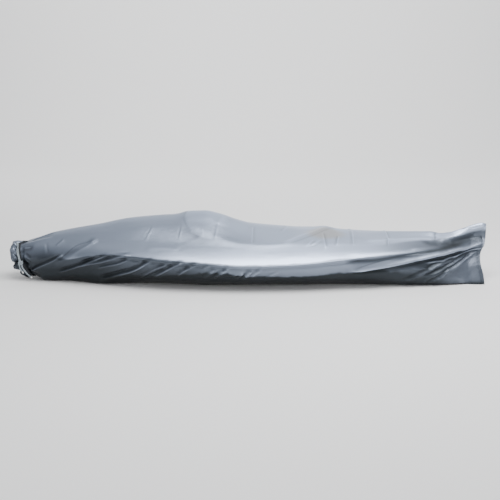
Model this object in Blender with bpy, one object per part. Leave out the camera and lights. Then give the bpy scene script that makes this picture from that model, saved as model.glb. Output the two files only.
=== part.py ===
"""A kayak cover in the shape that it takes on its boat: one long sleeve of silver-coated cloth.

The sleeve is gathered by a band and a drawcord at the bow, and sewn flat, on edge, at the stern. The boat is
left out, so the sleeve is hollow. Run it with blender --background --python part.py.

Frame: +X runs from the gathered mouth to the stern seam, -Y is the near side, which the cord's ends hang on,
and +Z is up. The origin lies on the ground under the middle of the sleeve. Every length is in metres.
"""

import math
from collections import namedtuple

import bmesh
import bpy
import numpy as np

CLOTH = 0.002  # thickness of the sleeve's wall
GAP = 0.0003  # between pieces that touch
LAYER_GAP = 0.0006  # from the middle plane of the flat stern to each of its two layers

# Places round one side of a section, from the crown, 0, to the keel line, 1, where its corners lie: the brow,
# which is the cockpit's rim amidships, the deck's edge, the rail, the chine, and the foot on the ground.
CORNERS = (0.0, 0.14, 0.30, 0.50, 0.70, 0.86, 1.0)
STEPS_PER_SIDE = 24
OUTLINE_STEPS = 200  # points of a section where its girth is measured
SHARP_EDGE = 50  # degrees between faces from which an edge looks sharp

# The gathered end, whose sections are ovals, and where on an oval the seven corners lie, in degrees from the crown.
Oval = namedtuple("Oval", "x half_width low high")
OVALS = (
    Oval(-1.487, 0.086, 0.006, 0.234),
    Oval(-1.450, 0.092, 0.000, 0.242),
    Oval(-1.416, 0.078, 0.012, 0.237),
    Oval(-1.386, 0.078, 0.012, 0.237),
    Oval(-1.360, 0.092, 0.002, 0.248),
)
OVAL_ANGLES = (0, 28, 50, 90, 125, 155, 180)

# The line of the crown over the boat, as x and height: foredeck, front of the cockpit's rim, the dip over the
# cockpit, the seat's back, the afterdeck, and the corner that stands up at the stern.
CROWN = (
    (-1.300, 0.268),
    (-1.216, 0.297),
    (-1.122, 0.317),
    (-0.932, 0.350),
    (-0.743, 0.388),
    (-0.554, 0.406),
    (-0.440, 0.413),
    (-0.364, 0.431),
    (-0.270, 0.434),
    (-0.175, 0.414),
    (-0.080, 0.381),
    (0.014, 0.355),
    (0.204, 0.336),
    (0.393, 0.322),
    (0.480, 0.330),
    (0.582, 0.312),
    (0.771, 0.300),
    (1.150, 0.300),
    (1.213, 0.290),
    (1.270, 0.294),
    (1.339, 0.310),
    (1.455, 0.340),
    (1.505, 0.346),
)

# The other corners of the sections over the boat, each as its distance from the middle and its height.
Section = namedtuple(
    "Section", "x brow_y brow_z deck_y deck_z rail_y rail_z chine_y chine_z foot_y foot_z"
)
SECTIONS = (
    Section(-1.300, 0.052, 0.252, 0.084, 0.220, 0.112, 0.134, 0.106, 0.048, 0.070, 0.000),
    Section(-1.147, 0.060, 0.288, 0.108, 0.236, 0.155, 0.152, 0.130, 0.056, 0.070, 0.000),
    Section(-0.882, 0.080, 0.326, 0.152, 0.270, 0.235, 0.203, 0.192, 0.060, 0.140, 0.000),
    Section(-0.617, 0.098, 0.366, 0.190, 0.291, 0.307, 0.187, 0.246, 0.062, 0.110, 0.000),
    Section(-0.420, 0.112, 0.373, 0.220, 0.287, 0.342, 0.176, 0.280, 0.064, 0.125, 0.000),
    Section(-0.270, 0.125, 0.372, 0.236, 0.277, 0.358, 0.170, 0.295, 0.066, 0.140, 0.000),
    Section(0.000, 0.132, 0.319, 0.248, 0.264, 0.372, 0.161, 0.310, 0.069, 0.135, 0.000),
    Section(0.300, 0.128, 0.304, 0.240, 0.262, 0.362, 0.167, 0.304, 0.070, 0.125, 0.000),
    Section(0.480, 0.116, 0.302, 0.222, 0.264, 0.342, 0.178, 0.286, 0.070, 0.125, 0.000),
    Section(0.600, 0.104, 0.294, 0.200, 0.262, 0.320, 0.186, 0.270, 0.070, 0.130, 0.000),
    Section(0.900, 0.076, 0.282, 0.150, 0.254, 0.238, 0.198, 0.204, 0.073, 0.110, 0.000),
    Section(1.150, 0.044, 0.276, 0.090, 0.248, 0.140, 0.202, 0.122, 0.078, 0.066, 0.000),
    Section(1.330, 0.020, 0.286, 0.040, 0.254, 0.056, 0.196, 0.050, 0.086, 0.026, 0.010),
    Section(1.430, 0.004, 0.304, 0.006, 0.260, 0.008, 0.192, 0.008, 0.090, 0.006, 0.024),
    Section(1.505, 0.003, 0.310, 0.003, 0.264, 0.003, 0.190, 0.003, 0.090, 0.003, 0.030),
)

# How far the gathered neck's ring is pushed along X round its side, at the band and at the hem, since the cloth
# bunches unevenly.
NeckBow = namedtuple("NeckBow", "place at_band at_hem")
NECK_BOWS = (
    NeckBow(0.00, 0.000, 0.004),
    NeckBow(0.13, -0.033, 0.003),
    NeckBow(0.30, -0.034, -0.002),
    NeckBow(0.42, -0.027, 0.006),
    NeckBow(0.50, -0.019, 0.012),
    NeckBow(0.58, -0.006, 0.014),
    NeckBow(0.70, 0.013, 0.040),
    NeckBow(0.86, 0.030, 0.060),
    NeckBow(1.00, 0.038, 0.070),
)
NECK_BOW_END = (-1.36, -1.12)  # from here to here the bow fades out into the body
HEM_BOW_START = -1.416

# The flat stern leans: rows of a height and how far its plane lies from the middle there, and the lean's start.
LEAN = ((0.0, -0.160), (0.10, -0.112), (0.19, -0.052), (0.215, -0.050), (0.26, -0.012), (0.346, 0.020))
LEAN_START = 0.55
STERN = 1.505

# The stern's edge isn't straight: rows of a height and how far short of the stern's end it lies there.
STERN_EDGE = (
    (0.000, 0.041),
    (0.050, 0.044),
    (0.120, 0.057),
    (0.165, 0.051),
    (0.200, 0.040),
    (0.225, 0.025),
    (0.270, 0.009),
    (0.346, 0.003),
)
STERN_EDGE_START = 1.15

# Runs of stations along the sleeve, as rows of where each ends and how many steps it takes.
MOUTH = -1.487
RUNS = (
    (-1.416, 4),
    (-1.386, 2),
    (-1.010, 12),
    (-0.400, 16),
    (0.500, 8),
    (1.050, 6),
    (1.487, 11),
    (STERN, 1),
)

# The gathered cloth's pleats: uneven inward creases round each side, the far side's lying a little higher up.
# Each has the share of the depth that the next table gives at each x.
Pleat = namedtuple("Pleat", "place half_width share")
PLEATS = (
    Pleat(0.085, 0.040, 0.50),
    Pleat(0.210, 0.040, 0.55),
    Pleat(0.345, 0.045, 0.60),
    Pleat(0.530, 0.050, 1.00),
    Pleat(0.705, 0.050, 1.00),
    Pleat(0.870, 0.045, 0.80),
)
PLEAT_RISE = 0.03
PLEAT_DEPTH = (
    (-1.487, 0.020),
    (-1.450, 0.022),
    (-1.416, 0.016),
    (-1.386, 0.016),
    (-1.350, 0.010),
    (-1.250, 0.000),
)

# The cockpit's rim raises the cloth along an ellipse, seen from above.
RIM_MIDDLE = 0.04
RIM_HALF_LENGTH = 0.44
RIM_HALF_WIDTH = 0.235
RIM_SOFTNESS = 0.10
RIM_HEIGHT = 0.003

# The main folds, each from a start to an end place on the sleeve. Side is -1 near and +1 far, a bow is how far
# the fold's middle lies keelward of the straight line, and a hollow is the share of the ridge's height that
# a trough beside it has: above 0 on the crown's side, below 0 on the keel's side.
Fold = namedtuple("Fold", "side start_x start_place end_x end_place bow width height hollow")
FOLDS = (
    Fold(-1, -1.370, 0.71, -1.110, 0.34, 0.04, 0.026, 0.014, 0.7),
    Fold(-1, -1.190, 0.54, -0.950, 0.28, 0.02, 0.028, 0.012, 0.5),
    Fold(-1, -1.180, 0.68, -0.700, 0.50, 0.00, 0.030, 0.015, 0.5),
    Fold(-1, -0.940, 0.79, -0.560, 0.49, 0.02, 0.034, 0.014, 0.5),
    Fold(-1, -0.600, 0.70, -0.390, 0.47, 0.00, 0.036, 0.010, 0.4),
    Fold(-1, -1.120, 0.50, 0.780, 0.48, 0.00, 0.030, 0.008, -0.7),
    Fold(-1, 0.300, 0.70, 1.530, 0.39, 0.01, 0.032, 0.026, 0.3),
    Fold(-1, 0.570, 0.53, 1.340, 0.37, 0.00, 0.038, -0.012, 0.0),
    Fold(-1, 0.700, 0.74, 1.480, 0.50, 0.00, 0.036, -0.014, 0.0),
    Fold(-1, 1.000, 0.82, 1.420, 0.56, 0.00, 0.036, 0.014, 0.4),
    Fold(-1, 1.180, 0.18, 1.490, 0.04, 0.00, 0.030, 0.010, -0.4),
    Fold(1, -1.360, 0.60, -1.080, 0.38, 0.03, 0.028, 0.013, 0.5),
    Fold(1, -1.200, 0.76, -0.740, 0.52, 0.01, 0.034, 0.015, 0.5),
    Fold(1, -1.100, 0.50, 0.820, 0.48, 0.00, 0.030, 0.008, -0.7),
    Fold(1, -0.760, 0.76, -0.440, 0.50, 0.00, 0.036, 0.011, 0.4),
    Fold(1, 0.420, 0.70, 1.480, 0.43, 0.01, 0.036, 0.022, 0.3),
    Fold(1, 0.980, 0.82, 1.400, 0.56, 0.00, 0.036, 0.013, 0.4),
)
FOLD_POINTS = 13
FOLD_FADE = 0.2
FOLD_STEP = 1.6

# The band round the gathered neck.
BAND_X = -1.401
BAND_WIDTH = 0.025
BAND_THICK = 0.002
BAND_CLEAR = 0.0006
BAND_STEPS_PER_SIDE = 26

# The drawcord: two strands side by side from the hem's casing, over the band, to the knot. The lead's rows are
# a place round the near side and how far along X from the band's middle the strands lie there.
CORD_RADIUS = 0.0045
STRAND_RADIUS = 0.0038
STRAND_SQUARENESS = 0.7  # 1 is an oval pair of strands, and less is a squarer one
LEAD = ((0.115, -0.015), (0.16, -0.009), (0.24, -0.004), (0.33, -0.004), (0.41, -0.003), (0.47, -0.002))
LEAD_STEPS = 14
KNOT_MIDDLE = (-1.4190, -0.0910, 0.1180)
KNOT_HALF = (0.0165, 0.0095, 0.0150)
KNOT_FULLNESS = 4  # 2 is an ellipsoid, and more is fuller at the ends
KNOT_RINGS = (0.75, 0.51, 0.26, 0.02, -0.22, -0.46, -0.71, -0.95)  # heights, in halves of the knot

# The cord's two free ends, from the knot down to their tips.
LONG_END = (
    (-1.4110, -0.0925, 0.1028),
    (-1.4095, -0.0935, 0.0920),
    (-1.4000, -0.0955, 0.0760),
    (-1.3870, -0.0950, 0.0570),
    (-1.3745, -0.0910, 0.0395),
    (-1.3640, -0.0860, 0.0285),
)
SHORT_END = (
    (-1.4255, -0.0925, 0.1028),
    (-1.4245, -0.0940, 0.0910),
    (-1.4190, -0.0955, 0.0775),
    (-1.4110, -0.0940, 0.0640),
)
CORD_POINT_STEP = 0.012
ROUND_STEPS = 12
TIP_LENGTH = 0.014
TIP_RADIUS = 0.0050
TIP_RINGS = ((0.0, 0.92), (0.08, 1.0), (0.9, 1.0), (1.0, 0.8))  # shares of its length and of its radius

# Colours as red, green and blue from 0 to 1.
Finish = namedtuple("Finish", "name colour rough")
SILVER_CLOTH = Finish("silver cloth", (0.47, 0.50, 0.55), 0.42)
BLACK_WEBBING = Finish("black webbing", (0.012, 0.014, 0.017), 0.70)
PALE_CORD = Finish("pale cord", (0.42, 0.48, 0.50), 0.65)
WHITE_TIP = Finish("white tip", (0.80, 0.80, 0.80), 0.40)


def smooth(knots, values, places, flat_ends=False):
    """Curves through the values at the knots, one for each row, that never overshoot them, read at the places."""
    knots = np.asarray(knots, float)
    values = np.atleast_2d(np.asarray(values, float))
    step = np.diff(knots)
    rise = np.diff(values, axis=1) / step
    before, after = rise[:, :-1], rise[:, 1:]
    same_way = before * after > 0
    slope = np.zeros_like(values)
    slope[:, 1:-1] = np.where(same_way, 2 * before * after / np.where(same_way, before + after, 1.0), 0.0)
    if not flat_ends:
        slope[:, 0] = rise[:, 0]
        slope[:, -1] = rise[:, -1]
    left = np.clip(np.searchsorted(knots, places, side="right") - 1, 0, len(knots) - 2)
    t = np.clip((places - knots[left]) / step[left], 0.0, 1.0)
    start, end = values[:, left], values[:, left + 1]
    out, into = slope[:, left] * step[left], slope[:, left + 1] * step[left]
    from_start = start * (2 * t**3 - 3 * t**2 + 1) + out * (t**3 - 2 * t**2 + t)
    return from_start + end * (3 * t**2 - 2 * t**3) + into * (t**3 - t**2)


def read(table, places, flat_ends=False):
    """The second column of a two-column table, as a smooth curve over its first, at the places."""
    rows = np.array(table)
    flat = np.ravel(places)
    return smooth(rows[:, 0], rows[:, 1], flat, flat_ends)[0].reshape(np.shape(places))


def eased(places, start, end):
    """0 before start, 1 past end, and a smooth step between them."""
    t = np.clip((np.asarray(places) - start) / (end - start), 0.0, 1.0)
    return t * t * (3 - 2 * t)


def stations():
    """The places along X of the sleeve's rings of points."""
    places = [MOUTH]
    for end, steps in RUNS:
        places += list(np.linspace(places[-1], end, steps + 1)[1:])
    return np.array(places)


def section_table():
    """Every row that gives a section: its x, and the seven corners' distances from the middle and heights."""
    places, across, heights = [], [], []
    for oval in OVALS:
        turn = np.radians(OVAL_ANGLES)
        places.append(oval.x)
        across.append(oval.half_width * np.sin(turn))
        heights.append((oval.high + oval.low) / 2 + (oval.high - oval.low) / 2 * np.cos(turn))
    for row in SECTIONS:
        places.append(row.x)
        across.append((0.0, row.brow_y, row.deck_y, row.rail_y, row.chine_y, row.foot_y, 0.0))
        heights.append((0.0, row.brow_z, row.deck_z, row.rail_z, row.chine_z, row.foot_z, 0.0))
    return np.array(places), np.array(across), np.array(heights)


def crown(x):
    """The height of the sleeve's top at each x."""
    gathered = tuple((oval.x, oval.high) for oval in OVALS)
    return read(gathered + CROWN, x)


def section(x, place):
    """Distances from the middle and heights of one side, a row for each x and a column for each place."""
    rows, across, heights = section_table()
    corner_y = smooth(rows, across.T, x).T
    corner_z = smooth(rows, heights.T, x).T
    corner_z[:, 0] = crown(x)
    half = smooth(CORNERS, corner_y, place)
    inside = (place > 0) & (place < 1)
    half = np.where(inside, np.maximum(half, CLOTH + LAYER_GAP), 0.0)
    return half, smooth(CORNERS, corner_z, place, flat_ends=True)


def girths(x, place):
    """How far down the cloth from the crown each place lies, a row for each x."""
    fine = np.linspace(0, 1, OUTLINE_STEPS)
    half, height = section(x, fine)
    steps = np.hypot(np.diff(half, axis=1), np.diff(height, axis=1))
    lengths = np.concatenate([np.zeros((len(x), 1)), np.cumsum(steps, axis=1)], axis=1)
    return np.array([np.interp(place, fine, row) for row in lengths])


def fold_line(fold):
    """Points along one fold, as (x, girth): straight between its ends but for the bow, in places, at its middle."""
    along = np.linspace(0, 1, FOLD_POINTS)
    x = fold.start_x + (fold.end_x - fold.start_x) * along
    place = fold.start_place + (fold.end_place - fold.start_place) * along
    place += fold.bow * np.sin(math.pi * along)
    girth = np.array([girths(x[i : i + 1], place[i : i + 1])[0, 0] for i in range(FOLD_POINTS)])
    return x, girth


def fold_height(x, girth, fold):
    """What one fold adds to the relief at points given as (x, girth): a soft ridge, and a trough beside it."""
    line_x, line_girth = fold_line(fold)
    nearest = np.full(x.shape, np.inf)
    along = np.zeros(x.shape)
    side = np.zeros(x.shape)
    for i in range(FOLD_POINTS - 1):
        run_x = line_x[i + 1] - line_x[i]
        run_girth = line_girth[i + 1] - line_girth[i]
        length = math.hypot(run_x, run_girth)
        from_x, from_girth = x - line_x[i], girth - line_girth[i]
        part = np.clip((from_x * run_x + from_girth * run_girth) / length**2, 0, 1)
        away = np.hypot(from_x - part * run_x, from_girth - part * run_girth)
        closer = away < nearest
        nearest = np.where(closer, away, nearest)
        along = np.where(closer, (i + part) / (FOLD_POINTS - 1), along)
        side = np.where(closer, np.sign(from_x * run_girth - from_girth * run_x) * np.sign(run_x), side)
    signed = nearest * side
    fade = eased(along, 0.0, FOLD_FADE) * (1 - eased(along, 1 - FOLD_FADE, 1.0))
    ridge = np.exp(-((signed / fold.width) ** 2))
    beside = signed - np.sign(fold.hollow) * FOLD_STEP * fold.width
    trough = np.exp(-((beside / fold.width) ** 2))
    return fold.height * fade * (ridge - abs(fold.hollow) * trough)


def relief(x, place, side):
    """How far each point of the cloth stands out from the plain section: the folds and the neck's pleats.

    x, place and side, which is -1 near and +1 far, have a row for each station and a column for each point.
    """
    girth = girths(x[:, 0], place[0])
    total = np.zeros(x.shape)
    for fold in FOLDS:
        total += np.where(side == fold.side, fold_height(x, girth, fold), 0.0)
    total += RIM_HEIGHT * rim(x, section(x[:, 0], place[0])[0])
    depth = np.where(x < PLEAT_DEPTH[-1][0], read(PLEAT_DEPTH, x), 0.0)
    level = place + np.where(side > 0, PLEAT_RISE, 0.0)
    for pleat in PLEATS:
        total -= depth * pleat.share * np.exp(-(((level - pleat.place) / pleat.half_width) ** 2))
    return total


def rim(x, across):
    """1 along the cockpit's rim, which is an ellipse seen from above, fading to 0 on both sides of it."""
    out = np.hypot((x - RIM_MIDDLE) / RIM_HALF_LENGTH, across / RIM_HALF_WIDTH)
    return np.exp(-(((out - 1) / RIM_SOFTNESS) ** 2))


def normals(points):
    """The outward direction at each point of a grid of rings, whose columns run all the way round."""
    along = np.gradient(points, axis=0)
    around = np.roll(points, -1, axis=1) - np.roll(points, 1, axis=1)
    out = np.cross(around, along)
    return out / np.linalg.norm(out, axis=2, keepdims=True)


def neck_bow(x, place):
    """How far the gathered cloth is pushed along X."""
    at_band = read([(bow.place, bow.at_band) for bow in NECK_BOWS], place, flat_ends=True)
    at_hem = read([(bow.place, bow.at_hem) for bow in NECK_BOWS], place, flat_ends=True)
    to_hem = np.clip((HEM_BOW_START - x) / (HEM_BOW_START - MOUTH), 0, 1)
    return (at_band + (at_hem - at_band) * to_hem) * (1 - eased(x, *NECK_BOW_END))


def warp(points, place):
    """The finished shape: the neck's ring bowed along X, the stern leaning, and its edge cut uneven."""
    x, y, z = points[..., 0], points[..., 1], points[..., 2]
    lean = read(LEAN, np.clip(z, 0, LEAN[-1][0])) * eased(x, LEAN_START, STERN)
    short = read(STERN_EDGE, np.clip(z, 0, STERN_EDGE[-1][0])) * eased(x, STERN_EDGE_START, STERN)
    return np.stack([x + neck_bow(x, place) - short, y + lean, z], axis=-1)


def sleeve_walls():
    """The outer and inner points of the sleeve, each a grid of rings."""
    x = stations()
    one_side = np.arange(STEPS_PER_SIDE + 1) / STEPS_PER_SIDE
    place = np.concatenate([one_side, one_side[-2:0:-1]])
    side = np.concatenate([-np.ones(STEPS_PER_SIDE + 1), np.ones(STEPS_PER_SIDE - 1)])
    half, height = section(x, place)
    x, place, side = np.broadcast_arrays(x[:, None], place[None, :], side[None, :])
    plain = np.stack([x, half * side, height], axis=-1)
    outer = plain + normals(plain) * relief(x, place, side)[..., None]
    outer[..., 2] = np.maximum(outer[..., 2], 0.0)
    inner = outer - normals(outer) * CLOTH
    clear = np.maximum(np.abs(inner[..., 1]), LAYER_GAP) * side
    inner[..., 1] = np.where(half > 0, clear, 0.0)
    return warp(outer, place), warp(inner, place)


def sleeve_faces(rings, inner_rings, columns):
    """Faces of the outer wall, the inner wall, the hem between them and the two closed ends at the stern."""
    outer = np.arange(rings * columns).reshape(rings, columns)
    inner = outer[-1, -1] + 1 + np.arange(inner_rings * columns).reshape(inner_rings, columns)
    faces = []
    for grid in (outer, inner):
        after = np.roll(grid, -1, axis=1)
        faces += np.stack([grid[:-1], grid[1:], after[1:], after[:-1]], axis=-1).reshape(-1, 4).tolist()
        last = grid[-1]
        half = columns // 2
        for k in range(1, half - 1):
            faces.append([last[k], last[k + 1], last[columns - k - 1], last[columns - k]])
        faces.append([last[0], last[1], last[columns - 1]])
        faces.append([last[half - 1], last[half], last[half + 1]])
    for k in range(columns):
        after = (k + 1) % columns
        faces.append([outer[0, k], outer[0, after], inner[0, after], inner[0, k]])
    return [[int(corner) for corner in face] for face in faces]


def material(finish):
    """The finish as a Principled material, made once."""
    if finish.name in bpy.data.materials:
        return bpy.data.materials[finish.name]
    made = bpy.data.materials.new(finish.name)
    made.use_nodes = True
    shader = made.node_tree.nodes["Principled BSDF"]
    shader.inputs["Base Color"].default_value = (*finish.colour, 1)
    shader.inputs["Roughness"].default_value = finish.rough
    return made


def mesh_object(name, points, faces, finish):
    """One closed mesh with its faces turned outward, as an object of the scene."""
    mesh = bpy.data.meshes.new(name)
    mesh.from_pydata([tuple(map(float, point)) for point in points], [], faces)
    shape = bmesh.new()
    shape.from_mesh(mesh)
    bmesh.ops.recalc_face_normals(shape, faces=shape.faces)
    bmesh.ops.triangulate(shape, faces=shape.faces)
    shape.to_mesh(mesh)
    shape.free()
    mesh.shade_smooth()
    mesh.set_sharp_from_angle(angle=math.radians(SHARP_EDGE))
    mesh.materials.append(material(finish))
    made = bpy.data.objects.new(name, mesh)
    bpy.context.collection.objects.link(made)
    return made


def tube_faces(rings, columns):
    """Faces of a run of rings, closed at both ends."""
    grid = np.arange(rings * columns).reshape(rings, columns)
    after = np.roll(grid, -1, axis=1)
    faces = np.stack([grid[:-1], grid[1:], after[1:], after[:-1]], axis=-1).reshape(-1, 4).tolist()
    return faces + [grid[0].tolist(), grid[-1][::-1].tolist()]


def ring_faces(rings, columns):
    """Faces of a run of rings that meets itself."""
    grid = np.arange(rings * columns).reshape(rings, columns)
    after = np.roll(grid, -1, axis=1)
    onward = np.roll(grid, -1, axis=0)
    return np.stack([grid, onward, np.roll(after, -1, axis=0), after], axis=-1).reshape(-1, 4).tolist()


def neck_frame(place, side):
    """Points of the neck's outline at the band, and the directions out of it, for each place on its side."""
    fine = np.linspace(0, 1, OUTLINE_STEPS)
    half, height = (row[0] for row in section(np.array([BAND_X]), fine))
    half[0] = half[-1] = 0.0
    slope_y, slope_z = np.gradient(half, fine), np.gradient(height, fine)
    length = np.hypot(slope_y, slope_z)
    y = np.interp(place, fine, half) * side
    z = np.interp(place, fine, height)
    out_y = np.interp(place, fine, -slope_z / length) * side
    out_z = np.interp(place, fine, slope_y / length)
    points = np.stack([np.full(len(y), BAND_X), y, z], axis=-1)
    points[:, 0] += neck_bow(points[:, 0], place)
    return points, np.stack([np.zeros(len(y)), out_y, out_z], axis=-1)


def build_sleeve():
    """The cloth: one hollow solid, open at the mouth and sewn shut at the stern."""
    outer, inner = sleeve_walls()
    inner = inner[:-1]
    points = np.concatenate([outer.reshape(-1, 3), inner.reshape(-1, 3)])
    mesh_object("cover", points, sleeve_faces(len(outer), len(inner), outer.shape[1]), SILVER_CLOTH)


def build_band():
    """The webbing that runs round the neck in the groove of the gathered cloth."""
    one_side = np.arange(BAND_STEPS_PER_SIDE + 1) / BAND_STEPS_PER_SIDE
    place = np.concatenate([one_side, one_side[-2:0:-1]])
    side = np.concatenate([-np.ones(BAND_STEPS_PER_SIDE + 1), np.ones(BAND_STEPS_PER_SIDE - 1)])
    points, out = neck_frame(place, side)
    along = np.array([1.0, 0.0, 0.0])
    corners = []
    for off, rise in ((-1, 0), (1, 0), (1, 1), (-1, 1)):
        corners.append(points + off * BAND_WIDTH / 2 * along + out * (BAND_CLEAR + rise * BAND_THICK))
    rings = np.stack(corners, axis=1)
    mesh_object("neck_band", rings.reshape(-1, 3), ring_faces(len(rings), 4), BLACK_WEBBING)


def build_drawcord():
    """Two strands from the casing to the knot, and the knot, as one solid."""
    along = np.linspace(LEAD[0][0], LEAD[-1][0], LEAD_STEPS)
    points, out = neck_frame(along, -1.0)
    points[:, 0] += read(LEAD, along)
    points += out * (BAND_CLEAR + BAND_THICK + GAP + STRAND_RADIUS)
    rings = []
    turn = np.linspace(0, 2 * math.pi, ROUND_STEPS, endpoint=False)
    for i in range(LEAD_STEPS):
        across = np.array([1.0, 0.0, 0.0])
        wide = 2 * STRAND_RADIUS * np.sign(np.cos(turn)) * np.abs(np.cos(turn)) ** STRAND_SQUARENESS
        thick = STRAND_RADIUS * np.sin(turn)
        rings.append(points[i] + wide[:, None] * across + thick[:, None] * out[i])
    middle, half = np.array(KNOT_MIDDLE), np.array(KNOT_HALF)
    for height in KNOT_RINGS:
        round_off = (1 - abs(height) ** KNOT_FULLNESS) ** (1 / KNOT_FULLNESS)
        y = half[1] * round_off * np.sin(turn)
        x = half[0] * round_off * np.cos(turn)
        rings.append(middle + np.stack([x, -y, np.full(ROUND_STEPS, height * half[2])], axis=-1))
    rings = np.array(rings)
    mesh_object("drawcord", rings.reshape(-1, 3), tube_faces(len(rings), ROUND_STEPS), PALE_CORD)


def smooth_route(route):
    """Points along a smooth curve through a cord's route, a fixed step apart."""
    route = np.array(route)
    lengths = np.concatenate([[0], np.cumsum(np.linalg.norm(np.diff(route, axis=0), axis=1))])
    places = np.linspace(0, lengths[-1], math.ceil(lengths[-1] / CORD_POINT_STEP) + 1)
    return smooth(lengths, route.T, places).T


def build_cord_end(name, route):
    """One free end of the cord, and the tip on it."""
    points = smooth_route(route)
    curve = bpy.data.curves.new(name, "CURVE")
    curve.dimensions = "3D"
    curve.bevel_depth = CORD_RADIUS
    curve.bevel_resolution = 2
    curve.use_fill_caps = True
    line = curve.splines.new("POLY")
    line.points.add(len(points) - 1)
    for point, place in zip(line.points, points):
        point.co = (*map(float, place), 1)
    curve.materials.append(material(PALE_CORD))
    bpy.context.collection.objects.link(bpy.data.objects.new(name, curve))
    onward = points[-1] - points[-2]
    onward /= np.linalg.norm(onward)
    across = np.cross(onward, (0, 1, 0))
    across /= np.linalg.norm(across)
    up = np.cross(across, onward)
    turn = np.linspace(0, 2 * math.pi, ROUND_STEPS, endpoint=False)
    disc = np.cos(turn)[:, None] * across + np.sin(turn)[:, None] * up
    rings = []
    for part, radius in TIP_RINGS:
        rings.append(points[-1] + onward * (GAP + part * TIP_LENGTH) + disc * TIP_RADIUS * radius)
    tip = np.array(rings).reshape(-1, 3)
    mesh_object(name.replace("end", "tip"), tip, tube_faces(len(TIP_RINGS), ROUND_STEPS), WHITE_TIP)


def main():
    for old in list(bpy.data.objects):
        bpy.data.objects.remove(old)
    build_sleeve()
    build_band()
    build_drawcord()
    build_cord_end("cord_end_long", LONG_END)
    build_cord_end("cord_end_short", SHORT_END)


main()
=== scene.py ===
"""The looks of the kayak cover: silver-coated cloth, black webbing, a pale drawcord and its white tips.

Frame: +X runs from the gathered mouth to the stern seam, -Y is the near side and +Z is up, in metres, as in
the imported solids. A spot on the sleeve is given by x and by its place round one side, from 0 at the crown to
1 at the keel line.
"""

from __future__ import annotations

import logging
import math
from dataclasses import dataclass, field
from enum import Enum
from typing import NamedTuple, Union

import bpy
import numpy as np
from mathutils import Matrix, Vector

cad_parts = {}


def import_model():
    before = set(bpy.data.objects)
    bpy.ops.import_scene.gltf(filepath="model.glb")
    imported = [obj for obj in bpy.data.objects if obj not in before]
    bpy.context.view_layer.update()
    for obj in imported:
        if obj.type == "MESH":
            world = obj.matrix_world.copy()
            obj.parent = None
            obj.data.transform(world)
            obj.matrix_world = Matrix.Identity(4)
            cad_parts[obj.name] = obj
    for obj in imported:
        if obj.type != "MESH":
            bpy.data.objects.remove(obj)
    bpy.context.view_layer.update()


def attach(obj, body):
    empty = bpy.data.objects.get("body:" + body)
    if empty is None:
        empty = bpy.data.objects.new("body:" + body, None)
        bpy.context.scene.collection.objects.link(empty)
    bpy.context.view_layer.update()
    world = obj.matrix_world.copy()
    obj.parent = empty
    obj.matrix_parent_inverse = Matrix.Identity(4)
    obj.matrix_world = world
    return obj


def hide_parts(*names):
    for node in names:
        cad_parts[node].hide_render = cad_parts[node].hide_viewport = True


LOG = logging.getLogger("kayak_cover")
BODY = "root"

Colour = tuple[float, float, float]
Piece = bpy.types.Object
Value = Union["Wire", float, tuple]


class Side(Enum):
    """Which side of the sleeve a fold lies on."""

    NEAR = -1
    BOTH = 0
    FAR = 1


class Fold(NamedTuple):
    """A fold along a line of spots.

    The hollow is the share of its height that a trough beside it has, above 0 on the crown's side. The crest
    is how round its top is, in metres. Light and dark are the logarithms of how much lighter its line is
    painted, a painted highlight, and how much darker its trough, a painted shade. The spots are rows of x and
    place.
    """

    side: Side
    width: float
    height: float
    hollow: float
    crest: float
    light: float
    dark: float
    spots: np.ndarray

    @classmethod
    def of(cls, side: Side, *numbers: int) -> Fold:
        """A fold from whole numbers: lengths in 0.1 mm, shares in hundredths, spots in thousandths."""
        scales = (10000, 10000, 100, 10000, 100, 100)
        sizes = [number / scale for number, scale in zip(numbers, scales)]
        return cls(side, *sizes, np.array(numbers[len(scales):]).reshape(-1, 2) / 1000)


class Patch(NamedTuple):
    """An oval patch of tone: its middle, its half sizes along x and round the side, and how strong it is."""

    x: float
    place: float
    half_length: float
    half_girth: float
    strength: float

    def out(self, x: np.ndarray, place: np.ndarray) -> np.ndarray:
        """How far out from the middle spots lie: 1 on the oval."""
        return np.hypot((x - self.x) / self.half_length, (place - self.place) / self.half_girth)


def thousandths(columns: int, *numbers: int) -> tuple:
    """Rows of so many numbers each, from whole thousandths."""
    scaled = iter([number / 1000 for number in numbers])
    return tuple(zip(*[scaled] * columns))


# Curves


def smooth(knots, values, places: np.ndarray, flat_ends: bool = False) -> np.ndarray:
    """Curves through values at the knots that never overshoot them.

    Cubic pieces whose slope at a knot is the harmonic mean of the rises beside it, or 0 where those differ
    in sign.

    Args:
        knots: Where the values are given, rising.
        values: One row for each curve.
        places: Where the curves are read.
        flat_ends: Whether the slope is 0 at both ends.

    Returns:
        One row for each curve and one column for each place.
    """
    knots = np.asarray(knots, float)
    values = np.atleast_2d(np.asarray(values, float))
    step = np.diff(knots)
    rise = np.diff(values, axis=1) / step
    before, after = rise[:, :-1], rise[:, 1:]
    same_way = before * after > 0
    slope = np.zeros_like(values)
    slope[:, 1:-1] = np.where(same_way, 2 * before * after / np.where(same_way, before + after, 1.0), 0.0)
    if not flat_ends:
        slope[:, 0], slope[:, -1] = rise[:, 0], rise[:, -1]
    left = np.clip(np.searchsorted(knots, places, side="right") - 1, 0, len(knots) - 2)
    t = np.clip((places - knots[left]) / step[left], 0.0, 1.0)
    start, end = values[:, left], values[:, left + 1]
    out, into = slope[:, left] * step[left], slope[:, left + 1] * step[left]
    from_start = start * (2 * t**3 - 3 * t**2 + 1) + out * (t**3 - 2 * t**2 + t)
    return from_start + end * (3 * t**2 - 2 * t**3) + into * (t**3 - t**2)


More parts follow.
